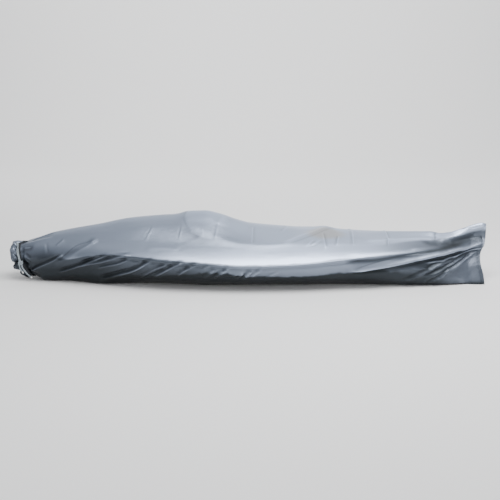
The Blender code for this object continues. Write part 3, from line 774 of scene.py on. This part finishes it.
    # painted light and shade: the band over the rail lighter, under it and the belly darker
    shades: tuple = thousandths(6,
        -1487, 440, 340, 120, 80, 50,
        -1400, 460, 360, 100, 60, 30,
        -1250, 550, 340, 70, 30, 15,
        -1000, 600, 480, 110, 35, 12,
        -700, 660, 640, 150, 80, 12,
        -350, 660, 920, 150, 90, 20,
        -50, 860, 1140, 350, 420, 40,
        350, 880, 1130, 430, 440, 30,
        700, 900, 920, 480, 320, 30,
        950, 880, 480, 400, 150, 40,
        1120, 880, 300, 260, 100, 40,
        1250, 960, 240, 270, 200, 40,
        1380, 880, 240, 320, 340, 50,
        1505, 800, 240, 220, 220, 40,
    )
    # where the band's painted highlight begins
    band_line: tuple = thousandths(2,
        -1487, 300,  -1150, 330,  -850, 430,  -581, 444,  -434, 388,  -287, 352,  -107, 334,  73, 312,
        315, 276,  557, 288,  801, 300,  1000, 240,  1200, 190,  1505, 150,
    )
    # where the belly's painted shade begins
    belly_line: tuple = thousandths(2,
        -1487, 820,  -1200, 720,  -900, 680,  -500, 630,  -134, 582,  -47, 606,  13, 640,  85, 618,
        250, 640,  487, 624,  724, 618,  950, 660,  1200, 780,  1505, 900,
    )
    # the lobe is a painted highlight, the brow painted shade, the stain the cloth's own
    lobe: Patch = Patch(-0.230, 0.070, 0.162, 0.190, 0.34)
    brow: Patch = Patch(-0.240, 0.245, 0.200, 0.090, 0.54)
    stain: Patch = Patch(0.480, 0.110, 0.150, 0.120, 0.14)
    ragged: tuple = ((0.012, 0.045, 0.2, 21), (0.006, 0.016, 0.1, 22))
    # limits on the painted light and shade: the folds' and pleats', as a logarithm, then the whole
    painted_shade_limits: tuple = (-1.9, 1.1)
    painted_light_limits: tuple = (0.015, 1.45)
    pucker_rows: tuple = (-0.600, -0.410, -0.276, -0.192, 0.026, 0.463, 0.548, 0.645, 0.861)
    finish: SilverCloth = field(default_factory=SilverCloth)

    def section_table(self) -> tuple[np.ndarray, np.ndarray, np.ndarray]:
        """Every row's x, and its seven corners' distances from the middle and heights."""
        turn = np.radians(self.oval_angles)
        places = [row[0] for row in self.ovals + self.sections]
        across = [half_width * np.sin(turn) for _, half_width, _, _ in self.ovals]
        heights = [(high + low) / 2 + (high - low) / 2 * np.cos(turn) for _, _, low, high in self.ovals]
        across += [np.array([0.0, *row[1::2], 0.0]) for row in self.sections]
        heights += [np.array([0.0, *row[2::2], 0.0]) for row in self.sections]
        return np.array(places), np.array(across), np.array(heights)

    def section(self, x: np.ndarray, place: np.ndarray) -> tuple[np.ndarray, np.ndarray]:
        """Distances from the middle and heights of one side, a row for each x and a column for each place."""
        rows, across, heights = self.section_table()
        corner_y, corner_z = smooth(rows, across.T, x).T, smooth(rows, heights.T, x).T
        corner_z[:, 0] = read(tuple((oval[0], oval[3]) for oval in self.ovals) + self.crown_line, x)
        half = np.maximum(smooth(self.corners, corner_y, place), self.thinnest)
        half = np.where((place > 0) & (place < 1), half, 0.0)
        return half, smooth(self.corners, corner_z, place, flat_ends=True)

    def girths(self, x: np.ndarray, place: np.ndarray) -> np.ndarray:
        """How far down the cloth from the crown each place lies, along the section's outline."""
        fine = np.linspace(0, 1, 200)
        half, height = self.section(x, fine)
        steps = np.hypot(np.diff(half, axis=1), np.diff(height, axis=1))
        lengths = np.concatenate([np.zeros((len(x), 1)), np.cumsum(steps, axis=1)], axis=1)
        return np.array([np.interp(place, fine, row) for row in lengths])

    def fold_relief(self, x: np.ndarray, girth: np.ndarray, fold: Fold) -> tuple[np.ndarray, np.ndarray]:
        """What one fold adds: a ridge and the trough beside it, a painted highlight along its line and painted
        shade in its trough.

        With d the distance from the fold's line, the ridge is exp(-(hypot(d, crest) - crest) / width), and
        the trough exp(-(e / width)^2) with e the distance from a line fold_step widths to one side; its
        painted shade follows the trough. The painted highlight along the line is exp(-(2 d / width)^2). All of
        them fade out towards the line's ends.

        Args:
            x: The points' x.
            girth: How far down from the crown they lie.
            fold: The fold.

        Returns:
            The height at each point and the logarithm of how much lighter its painted light and shade make it.
        """
        down = np.array([self.girths(at[:1], np.abs(at[1:]))[0, 0] for at in fold.spots])
        down *= np.sign(fold.spots[:, 1])
        route = spaced(np.stack([fold.spots[:, 0], down], axis=1), self.fold_run)
        length = lengths_along(route)
        nearest, along, side = np.full(x.shape, np.inf), np.zeros(x.shape), np.zeros(x.shape)
        for begin, run, start, end in zip(route[:-1], np.diff(route, axis=0), length[:-1], length[1:]):
            run_x, run_girth = run
            past_x, past_girth = x - begin[0], girth - begin[1]
            part = np.clip((past_x * run_x + past_girth * run_girth) / (run_x**2 + run_girth**2), 0, 1)
            away = np.hypot(past_x - part * run_x, past_girth - part * run_girth)
            turned = np.sign(past_x * run_girth - past_girth * run_x) * np.sign(run_x)
            closer = away < nearest
            found = ((away, nearest), (start + part * (end - start), along), (turned, side))
            nearest, along, side = (np.where(closer, new, old) for new, old in found)
        reach = min(0.3 * length[-1], 0.02 + 0.1 * length[-1])
        fade = eased(along, 0.0, reach) * (1 - eased(along, length[-1] - reach, length[-1]))
        ridge = np.exp(-(np.hypot(nearest, fold.crest) - fold.crest) / fold.width)
        trough = bell((nearest * side - np.sign(fold.hollow) * self.fold_step * fold.width) / fold.width)
        height = fold.height * (ridge - abs(fold.hollow) * trough)
        return height * fade, (fold.light * bell(2 * nearest / fold.width) - fold.dark * trough) * fade

    def relief(self, x: np.ndarray, place: np.ndarray, side: np.ndarray, girth: np.ndarray) -> tuple:
        """How far the cloth stands out from the plain section: folds, rim, pleats and small wrinkles.

        Returns:
            The height at each point and the logarithm of how much lighter its painted light and shade make it.
        """
        # the folds' and pleats' painted highlights and painted shade, as logarithms of how much lighter
        total, wear_and_painted_shade = np.zeros(x.shape), np.zeros(x.shape)
        for fold in (Fold.of(*row) for row in self.folds):
            ends, reach = fold.spots[:, 0], 6 * fold.width
            rows = slice(*np.searchsorted(x[:, 0], (ends.min() - reach, ends.max() + reach)))
            on_side = (side[rows] == fold.side.value) | (fold.side is B)
            height, lighter = self.fold_relief(x[rows], girth[rows] * np.where(on_side, 1.0, -1.0), fold)
            total[rows] += height
            wear_and_painted_shade[rows] += lighter
        across = self.section(x[:, 0], place[0])[0]
        out = np.hypot((x - self.rim_middle) / self.rim_half_length, across / self.rim_half_width)
        total += self.rim_height * bell((out - 1) / self.rim_softness)
        depth = np.where(x < self.pleat_depth[-1][0], read(self.pleat_depth, x), 0.0)
        gathered = self.gathered(place, side)
        wear_and_painted_shade -= self.pleat_shadow * depth * np.maximum(gathered - self.shallow, 0.0)
        return total - depth * gathered + self.wrinkles(x, place, side, girth), wear_and_painted_shade

    def gathered(self, place: np.ndarray, side: np.ndarray) -> np.ndarray:
        """The gathered cloth's creases: the sum of share exp(-((place - its place) / half width)^2)."""
        level = place + np.where(side > 0, self.pleat_rise, 0.0)
        return sum(share * bell((level - spot) / half_width) for spot, half_width, share in self.pleats)

    def slackness(self, x: np.ndarray, place: np.ndarray) -> np.ndarray:
        """1 where the cloth hangs slack, at both ends, less under the rail, and least where it is taut."""
        ends = np.maximum(1 - eased(x, *self.slack_mouth), eased(x, *self.slack_stern))
        under = self.slack_share * eased(place, *self.slack_under)
        return np.clip(np.maximum(ends, under), self.least_slack, 1.0)

    def wrinkles(self, x: np.ndarray, place: np.ndarray, side: np.ndarray, girth: np.ndarray) -> np.ndarray:
        """Small uneven waves: a sum of noises, slanted with the folds' pull, stronger where slack.

        They leave the ring under the band smooth.
        """
        across = girth * side
        noises = (size * value_noise(x + slant * girth, across, *cells) for size, slant, *cells in self.waves)
        clear = 1 - eased(-x, 1.33, 1.38) * (1 - eased(-x, 1.42, 1.45))
        return sum(noises) * self.slackness(x, place) * clear

    def neck_bow(self, x: np.ndarray, place: np.ndarray) -> np.ndarray:
        """How far the gathered cloth is pushed along X."""
        at_band, at_hem = (read(self.neck_bows, place, True, column) for column in (1, 2))
        to_hem = np.clip((self.hem_bow_start - x) / (self.hem_bow_start - self.mouth), 0, 1)
        return (at_band + (at_hem - at_band) * to_hem) * (1 - eased(x, *self.neck_bow_end))

    def warp(self, points: np.ndarray, place: np.ndarray) -> np.ndarray:
        """The finished shape: the neck's ring bowed along X, the stern leaning, and its edge cut uneven."""
        x, y, z = np.moveaxis(points, -1, 0)
        lean, short = (read(table, np.clip(z, 0, table[-1][0])) for table in (self.lean, self.stern_edge))
        lean = lean * eased(x, self.lean_start, self.stern)
        short = short * eased(x, self.stern_edge_start, self.stern)
        notch = self.hem_notch * (1 - eased(x, self.mouth, self.mouth + 0.05))
        notch = notch * eased(self.gathered(place, y), self.shallow, 1.0)
        return np.stack([x + self.neck_bow(x, place) - short + notch, y + lean, z], axis=-1)

    def shade(self, x: np.ndarray, place: np.ndarray, side: np.ndarray, girth: np.ndarray) -> np.ndarray:
        """The painted light and shade: how light the cloth is painted on the deck, the band over the rail,
        then down through the others.

        The band starts along band_line and the belly along belly_line, whose edge a noise makes ragged. The
        band is a painted highlight, and under the rail down to the belly is painted shade. The lobe is a
        painted highlight, an oval with a crisp edge to the bow, fading the other way; the brow is painted
        shade.
        """
        rows = x[:, 0]
        deck, band, under, middle, painted_belly_shade = (read(self.shades, rows, column=c)[:, None] for c in range(1, 6))
        rail = read(self.rail_line, np.clip(rows, self.rail_line[0][0], self.rail_line[-1][0]))[:, None]
        upper, lower = (read(line, rows)[:, None] for line in (self.band_line, self.belly_line))
        ragged = sum(height * value_noise(x, girth * side, *cells) for height, *cells in self.ragged)
        soft, bow = eased(x, *self.rail_end), eased(-x, 1.09, 1.22)
        high = 0.014 + 0.012 * eased(x, -0.75, -0.55) * (1 - eased(x, 0.5, 0.7)) + 0.03 * soft + 0.165 * bow
        # painted shade under the rail, crisp amidships and softer at the ends
        edge = eased((place - rail + high + ragged * 0.3) / (0.016 + 0.10 * soft + 0.135 * bow), 0, 1)
        taut = eased(x, -0.35, -0.05) * (1 - eased(x, 0.75, 0.95))
        across = 0.030 + 0.030 * eased(-x, 0.1, 0.7)
        # painted highlight: the band over the rail lighter than the deck
        painted_light_and_stain = deck + (band - deck) * eased((place - upper) / across, -1.0, 1.0)
        # painted highlight along the band's top where the cloth is taut
        painted_light_and_stain = painted_light_and_stain * (1 + 0.10 * eased((place - upper) / 0.02, -1.0, 1.0) * taut)
        # painted shade under the rail and halfway down
        painted_light_and_stain = painted_light_and_stain + (under - painted_light_and_stain) * edge
        painted_light_and_stain = painted_light_and_stain + (middle - under) * eased(place, 0.53, 0.64) * edge
        spread = 0.018 + 0.05 * eased(x, 0.8, 1.3) + 0.02 * eased(-x, 0.5, 1.0)
        # painted shade of the belly
        painted_light_and_stain = painted_light_and_stain + (painted_belly_shade - painted_light_and_stain) * eased((place - lower + ragged) / spread, -1.0, 1.0)
        lobe, brow = self.lobe, self.brow
        # the lobe's painted highlight, crisp towards the bow
        inside = 1 - eased(lobe.out(x, place), 0.95, 1.0)
        painted_light_and_stain = painted_light_and_stain * (1 + lobe.strength * inside * (1 - eased(x, lobe.x - 0.05, lobe.x + 0.14)))
        # the brow's painted shade, darkening a highlight that the shape catches
        painted_light_and_stain = painted_light_and_stain * (1 - brow.strength * bell(brow.out(x, place)))
        return painted_light_and_stain * (1 - self.stain.strength * self.stained(x, place, side))

    def stained(self, x: np.ndarray, place: np.ndarray, side: np.ndarray) -> np.ndarray:
        """1 in the middle of the stained patch behind the bulge, fading to 0 at its edge."""
        return (1 - eased(self.stain.out(x, place), 0.45, 1.0)) * (side <= 0)

    def surface(self) -> dict[str, np.ndarray]:
        """The outer face as a grid, from the near keel line over the crown to the far one.

        Returns:
            The grids of points, normals, x, place, side, girth, relief and painted light and shade.
        """
        x = runs(self.mouth, self.rows)
        near_creases = np.array(self.pucker_rows)[:, None] + np.array([-0.009, -0.003, 0.003, 0.009])
        x = np.sort(np.concatenate([x, near_creases.ravel()]))
        near, far = runs(0.0, self.near_columns), runs(0.0, self.far_columns)
        place = np.concatenate([near[::-1], far[1:]])
        side = np.concatenate([-np.ones(len(near)), np.ones(len(far) - 1)])
        half, height = self.section(x, place)
        half = half * (1 - eased(x, self.stern - 0.030, self.stern - 0.002))[:, None]
        girth = self.girths(x, place)
        x, place, side = np.broadcast_arrays(x[:, None], place[None, :], side[None, :])
        plain = np.stack([x, half * side, height], axis=-1)
        relief, wear_and_painted_shade = self.relief(x, place, side, girth)
        outer = plain + grid_normals(plain) * relief[..., None]
        outer[..., 2] = np.maximum(outer[..., 2], 0.0)
        points = self.warp(outer, place)
        made = {"points": points, "normals": grid_normals(points), "x": x, "place": place, "side": side}
        return made | {"girth": girth, "relief": relief, "wear_and_painted_shade": wear_and_painted_shade}

    def build(self) -> tuple[Piece, dict[str, np.ndarray]]:
        """The cloth as one sheet: its outer face, the hem turned in at the mouth, and the keel's lap."""
        face = self.surface()
        points, out = face["points"], face["normals"]
        onward, hem = unit(points[1] - points[0]), self.hem_depth
        turns = ((hem, 2.0), (0.5 * hem, 2.2), (0.003, 2.2), (0.0, 1.6), (-0.0008, 0.8))
        turned = [points[0] + onward * back - out[0] * sunk * self.cloth for back, sunk in turns]
        sheet = np.concatenate([np.array(turned), points])
        hem_x = face["x"][0] - np.array([0.028, 0.016, 0.006, 0.003, 0.001])[:, None]
        u = np.concatenate([hem_x, face["x"]])
        signed = face["girth"] * face["side"]
        v = np.concatenate([np.repeat(signed[:1], len(turned), axis=0), signed])
        lap = sheet[:, -1].copy()
        lap[:, 1] = sheet[:, 0, 1] + self.keel_lap * np.clip((self.stern - u[:, 0]) / 0.2, 0.1, 1.0)
        lap[:, 2] = sheet[:, 0, 2] + self.cloth
        near_edge = sheet[:, 0] + np.array([0.0, 0.0, 0.5 * self.cloth])
        sheet = np.concatenate([lap[:, None], near_edge[:, None], sheet[:, 1:]], axis=1)
        u = np.concatenate([u[:, :1], u], axis=1)
        v = np.concatenate([v[:, :1] - self.keel_lap, v], axis=1)
        look = self.finish.material()
        sewn = mesh_piece("sleeve", sheet.reshape(-1, 3), grid_faces(*u.shape), corner_uv(u, v), look)
        self.paint(sewn, face, len(turned))
        return sewn, face

    def paint(self, sewn: Piece, face: dict[str, np.ndarray], turned: int) -> None:
        """Stores the painted light and shade, stain, ridge and slack on the points.

        The painted light and shade is shade() (which also holds the stain's darkening) times e to the folds'
        and pleats' painted light and shade, times 1 plus 60 for each metre that the relief stands above its
        mean over
        the points around it: painted highlight on raised cloth and painted shade in its hollows. Ridge is 0.5
        plus a share of that same height.
        """
        around = face["relief"].copy()
        for _ in range(10):
            padded = np.pad(around, 1, mode="edge")
            around = (padded[:-2, 1:-1] + padded[2:, 1:-1] + padded[1:-1, :-2] + padded[1:-1, 2:]) / 4
        above = face["relief"] - around
        x, place, side = face["x"], face["place"], face["side"]
        slack = self.slackness(x, place)
        # painted light and shade: the painted tones times the folds' and pleats' painted light and shade
        painted_light_and_stain = self.shade(x, place, side, face["girth"]) * np.exp(np.clip(face["wear_and_painted_shade"], *self.painted_shade_limits))
        # painted highlight on raised cloth, painted shade in its hollows
        painted_light_and_stain = np.clip(painted_light_and_stain * (1 + 60 * above * slack), *self.painted_light_limits)
        # ridge is also what paints the hollows duller and darker in the cloth's material
        stain, ridge = self.stained(x, place, side), np.clip(0.5 + above * 350, 0, 1)
        for name, grid in {"painted_light_and_stain": painted_light_and_stain, "stain": stain, "ridge": ridge, "slack": slack}.items():
            whole = np.pad(grid, ((turned, 0), (1, 0)), mode="edge")
            attribute = sewn.data.attributes.new(name, "FLOAT", "POINT")
            attribute.data.foreach_set("value", whole.astype(np.float32).ravel())

    def on_cloth(self, face: dict[str, np.ndarray], x: np.ndarray, place: np.ndarray, side: int) -> tuple:
        """Points and normals of the built cloth at spots, blended from the four grid points around each."""
        middle = int(np.argmin(face["place"][0]))
        ladder = np.where(face["side"][0] == side, side * face["place"][0], 0.0)
        columns = np.arange(len(ladder))
        chosen = columns[middle:] if side > 0 else columns[: middle + 1]
        j = np.interp(side * place, ladder[chosen], chosen)
        i = np.interp(x, face["x"][:, 0], np.arange(len(face["x"])))
        i0, j0 = np.floor(i).astype(int), np.floor(j).astype(int)
        i1, j1 = np.minimum(i0 + 1, len(face["x"]) - 1), np.minimum(j0 + 1, len(ladder) - 1)
        s, t = (i - i0)[:, None], (j - j0)[:, None]
        grids = (face["points"], face["normals"])
        return tuple(blended([[grid[a, b] for b in (j0, j1)] for a in (i0, i1)], s, t) for grid in grids)


@dataclass
class Stitches:
    """Rows of short thread stitches along the stern seam and the mouth's hem."""

    length: float = 0.0042
    gap: float = 0.0030
    seam_rows: tuple = (0.006, 0.014)
    radius: float = 0.00045
    sides: int = 6
    rings: int = 5
    finish: Thread = field(default_factory=Thread)

    def row(self, points: np.ndarray, out: np.ndarray) -> np.ndarray:
        """Stitches along a line: each one a small capsule, its middle raised from the cloth.

        Args:
            points: Fine points along the line, on the cloth.
            out: Their outward directions.

        Returns:
            Points of every stitch, as stitch, ring, corner and coordinate.
        """
        run = lengths_along(points)
        part = np.linspace(0, 1, self.rings)
        starts = np.arange(0, run[-1] - self.length, self.length + self.gap)
        where = starts[:, None] + part[None, :] * self.length
        lines = [[np.interp(where, run, line[:, k]) for k in range(3)] for line in (points, out)]
        middle, lifted = (np.stack(line, axis=-1) for line in lines)
        lifted = unit(lifted)
        middle = middle + lifted * (0.0004 + 0.0005 * np.sin(math.pi * part))[None, :, None]
        across = np.cross(unit(middle[:, -1] - middle[:, 0])[:, None, :], lifted)
        turn = np.linspace(0, 2 * math.pi, self.sides, endpoint=False)[None, None, :, None]
        width = self.radius * np.sqrt(np.clip(1 - (2 * part - 1) ** 4, 0.04, 1))
        ring = np.cos(turn) * across[:, :, None, :] + np.sin(turn) * lifted[:, :, None, :]
        return middle[:, :, None, :] + width[None, :, None, None] * ring

    def build(self, sleeve: Sleeve, face: dict[str, np.ndarray]) -> Piece:
        """All rows as one piece."""
        fine = np.linspace(0.03, 0.97, 900)
        lines = (*(sleeve.stern - back for back in self.seam_rows), sleeve.mouth + sleeve.hem_depth)
        at = [(side, np.full(len(fine), x)) for side in (-1, 1) for x in lines]
        every = np.concatenate([self.row(*sleeve.on_cloth(face, x, fine, side)) for side, x in at])
        shift = (np.arange(len(every)) * self.rings * self.sides)[:, None, None]
        faces = grid_faces(self.rings, self.sides, close_columns=True)[None] + shift
        return mesh_piece("stitches", every.reshape(-1, 3), faces.reshape(-1, 4), look=self.finish.material())


@dataclass
class Neck:
    """The outline of the gathered neck, which the band and the drawcord lie on."""

    sleeve: Sleeve
    x: float = -1.401
    fine: int = 400

    def at(self, place: np.ndarray, side: np.ndarray) -> tuple[np.ndarray, np.ndarray]:
        """Points of the neck's outline and the directions out of it."""
        fine = np.linspace(0, 1, self.fine)
        half, height = (row[0] for row in self.sleeve.section(np.array([self.x]), fine))
        slope_y, slope_z = np.gradient(half, fine), np.gradient(height, fine)
        length = np.hypot(slope_y, slope_z)
        columns = (half, height, -slope_z / length, slope_y / length)
        y, z, out_y, out_z = (np.interp(place, fine, column) for column in columns)
        x = np.full(len(y), self.x)
        points = np.stack([x + self.sleeve.neck_bow(x, place), y * side, z], axis=-1)
        return points, unit(np.stack([np.zeros(len(y)), out_y * side, out_z], axis=-1))


@dataclass
class NeckBand:
    """The webbing round the neck."""

    neck: Neck
    width: float = 0.025
    thick: float = 0.002
    clear: float = 0.0006
    steps_per_side: int = 130
    finish: BlackWebbing = field(default_factory=BlackWebbing)

    def build(self) -> Piece:
        """A ring of flat rounded section: half its width by |cos a|^0.35, half as thick by |sin a|^0.6."""
        one_side = np.arange(self.steps_per_side + 1) / self.steps_per_side
        place = np.concatenate([one_side, one_side[-2:0:-1]])
        side = np.concatenate([-np.ones(self.steps_per_side + 1), np.ones(self.steps_per_side - 1)])
        points, out = self.neck.at(place, side)
        angle = np.linspace(0, 2 * math.pi, 20, endpoint=False)
        flat, up = np.cos(angle), np.sin(angle)
        across = self.width / 2 * np.sign(flat) * np.abs(flat) ** 0.35
        rise = self.clear + self.thick / 2 * (1 + np.sign(up) * np.abs(up) ** 0.6)
        around = np.cumsum(np.linalg.norm(np.roll(points, -1, axis=0) - points, axis=1))
        wave = 0.0007 * np.sin(around * 95) + 0.0005 * np.sin(around * 41 + 1)
        ring = points[:, None, :] + out[:, None, :] * rise[None, :, None]
        ring[..., 0] += across[None, :] + wave[:, None]
        u, v = np.broadcast_arrays(around[:, None], across[None, :])
        faces = grid_faces(len(points), len(angle), close_rows=True, close_columns=True)[:, ::-1]
        uv = corner_uv(u, v, close_rows=float(around[-1]), close_columns=1e-6).reshape(-1, 4, 2)[:, ::-1]
        return mesh_piece("neck_webbing", ring.reshape(-1, 3), faces, uv, self.finish.material())


@dataclass
class Drawcord:
    """The drawcord: two strands out of the hem, over the band, to the knot, and two free ends with tips."""

    neck: Neck
    strand_radius: float = 0.0038
    cord_radius: float = 0.0045
    lead: tuple = thousandths(2,
        80, -20,  115, -15,  160, -9,  240, -4,  330, -4,  410, -3,  470, -2,
    )
    over_band: float = 0.0029
    knot: tuple = (-1.4190, -0.0910, 0.1180)
    knot_half: tuple = (0.0118, 0.0058, 0.0105)
    knot_turns: float = 2.75
    long_end: tuple = (
        (-1.4150, -0.0912, 0.1190), (-1.4110, -0.0925, 0.1028), (-1.4095, -0.0935, 0.0920),
        (-1.4000, -0.0955, 0.0760), (-1.3870, -0.0950, 0.0570), (-1.3745, -0.0910, 0.0395),
        (-1.3640, -0.0860, 0.0285),
    )
    short_end: tuple = (
        (-1.4230, -0.0912, 0.1190), (-1.4255, -0.0925, 0.1028), (-1.4245, -0.0940, 0.0910),
        (-1.4190, -0.0955, 0.0775), (-1.4110, -0.0940, 0.0640),
    )
    step: float = 0.0022
    braid: float = 0.05
    wrap_radius: float = 0.0041
    tip_length: float = 0.014
    tip_radius: float = 0.0050
    finish: PaleCord = field(default_factory=PaleCord)
    tip_finish: WhiteTip = field(default_factory=WhiteTip)

    def lead_route(self, strand: int) -> np.ndarray:
        """One strand's route: along the neck beside the other one, from inside the hem to the knot."""
        place = np.linspace(self.lead[0][0], self.lead[-1][0], 70)
        points, out = self.neck.at(place, np.full(len(place), -1.0))
        points[:, 0] += read(self.lead, place)
        lift = self.over_band + self.strand_radius - 0.011 * (1 - eased(place, 0.080, 0.125))
        swing = 1.25 * np.sin((place - 0.115) * 14.0)
        points += out * (lift + 0.55 * self.strand_radius * np.sin(swing) * strand)[:, None]
        points[:, 0] += self.strand_radius * strand * np.cos(swing)
        inside = np.array(self.knot) + np.array([0.0035 * strand, 0.0, 0.0])
        return spaced(np.concatenate([points[:-6:3], inside[None]]), self.step)

    def knot_route(self) -> np.ndarray:
        """The knot's wraps: an oval screw round the upright, its turns tilted to and fro."""
        turn = np.linspace(0, 2 * math.pi * self.knot_turns, 120)
        wide, deep, high = self.knot_half
        z = high * (1 - 2 * turn / turn[-1]) + 0.0035 * np.cos(turn + 0.8)
        return np.array(self.knot) + np.stack([wide * np.cos(turn), -deep * np.sin(turn), z], axis=-1)

    def tip(self, route: np.ndarray) -> tuple:
        """A turned tip on a route's end: its radius runs out to a lip, along, and rounds off at the end."""
        shares = np.array([0.0, 0.02, 0.10, 0.16, 0.30, 0.60, 0.85, 0.95, 0.99, 1.0])
        swell = np.array([0.90, 1.02, 1.04, 0.97, 0.94, 0.95, 0.92, 0.80, 0.50, 0.20])
        middle = route[-1] + unit(route[-1] - route[-3]) * (0.0003 + shares[:, None] * self.tip_length)
        return tube(middle, self.tip_radius * swell, sides=24)

    def build(self) -> tuple[Piece, list[tuple]]:
        """Every piece of the cord.

        Returns:
            The lead with its knot; and each free end's name, spots, route, piece and tip.
        """
        cloth, hard = self.finish.material(), self.tip_finish.material()
        parts = [tube(self.lead_route(strand), self.strand_radius, self.braid) for strand in (-1, 1)]
        parts.append(tube(self.knot_route(), self.wrap_radius, self.braid))
        lead, ends = mesh_piece("drawcord_lead", *joined(parts), cloth), []
        for name, spots in (("long", self.long_end), ("short", self.short_end)):
            route = spaced(spots, self.step)
            end = mesh_piece(f"cord_{name}", *tube(route, self.cord_radius, self.braid), cloth)
            ends.append((name, spots, route, end, mesh_piece(f"tip_{name}", *self.tip(route), hard)))
        return lead, ends


@dataclass
class Studio:
    """A pale floor that turns up into a backdrop, soft lights and the camera."""

    floor: Colour = (0.90, 0.90, 0.90)
    lamps: tuple = (
        ("overhead", (0.8, -1.0, 3.2), (0.3, 0.0, 0.2), (4.0, 2.0), 190.0),
        ("front", (1.5, -6.0, 3.0), (0.0, 0.0, 0.2), (5.0, 2.0), 60.0),
        ("wash", (0.0, 3.0, 4.5), (0.0, 6.6, 1.2), (9.0, 1.5), 330.0),
    )
    sky: Colour = (0.95, 0.97, 1.0)
    target: tuple = (0.01266, 0.0, 0.179)
    distance: float = 5.0
    elevation: float = 14.0
    sensor: float = 36.0
    focal: float = 789.9 / 500 * 36.0

    def backdrop(self) -> None:
        """A sweep: flat to 5 m behind, then a quarter circle of 2 m, then straight up."""
        bend = np.linspace(0, math.pi / 2, 24)
        y = np.concatenate([[-9.0, -4.0, 0.0, 3.0], 5.0 + 2.0 * np.sin(bend), [7.0]])
        z = np.concatenate([[0.0] * 4, 2.0 - 2.0 * np.cos(bend), [7.0]]) - 0.001
        x = np.linspace(-12, 12, 5)
        grid = np.stack(np.broadcast_arrays(x[None, :], y[:, None], z[:, None]), axis=-1)
        colour = (*self.floor, 1.0)
        look = Graph("backdrop_look").set(
            base_color=colour, roughness=0.9, emission_color=colour, emission_strength=0.04
        )
        faces = grid_faces(len(y), len(x))[:, ::-1]
        made = mesh_piece("backdrop", grid.reshape(-1, 3), faces, look=look)

    def aimed(self, name: str, data: bpy.types.ID, place: tuple, way: Vector) -> Piece:
        """A lamp or camera at a place, turned to look a way."""
        made = linked(name, data)
        made.location = place
        made.rotation_euler = way.to_track_quat("-Z", "Y").to_euler()
        return made

    def build(self) -> None:
        """Backdrop, lights, surroundings and camera."""
        self.backdrop()
        for name, place, aim, size, power in self.lamps:
            data = bpy.data.lights.new(name, "AREA")
            data.shape, data.energy = "RECTANGLE", power
            data.size, data.size_y = size
            self.aimed(name, data, place, Vector(aim) - Vector(place))
        world = bpy.data.worlds.new("surroundings")
        world.use_nodes = True
        background = world.node_tree.nodes["Background"]
        background.inputs["Color"].default_value = (*self.sky, 1.0)
        background.inputs["Strength"].default_value = 0.50
        bpy.context.scene.world = world
        data = bpy.data.cameras.new("camera")
        data.lens, data.sensor_width = self.focal, self.sensor
        tilt = math.radians(self.elevation)
        back = Vector((0.0, -math.cos(tilt), math.sin(tilt)))
        camera = self.aimed("camera", data, Vector(self.target) + back * self.distance, -back)
        bpy.context.scene.camera = camera


def main() -> None:
    """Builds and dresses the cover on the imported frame."""
    logging.basicConfig(level=logging.INFO, format="%(message)s")
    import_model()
    Studio().build()
    sleeve = Sleeve()
    cloth, face = sleeve.build()
    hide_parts("cover")
    sewing = Stitches().build(sleeve, face)
    neck = Neck(sleeve)
    band = NeckBand(neck).build()
    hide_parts("neck_band")
    drawcord = Drawcord(neck)
    lead, ends = drawcord.build()
    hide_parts("drawcord")
    pieces = [cloth, sewing, band, lead]
    for name, points, route, end, tip in ends:
        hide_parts(f"cord_end_{name}")
        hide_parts(f"cord_tip_{name}")
        length = float(np.linalg.norm(np.diff(route, axis=0), axis=1).sum())
        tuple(points[1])
        LOG.info("cord %s: %.3f m", name, length)
        pieces += [end, tip]
    for piece in pieces:
        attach(piece, BODY)
        LOG.info("%s: %d faces", piece.name, len(piece.data.polygons))


if __name__ == "__main__":
    main()
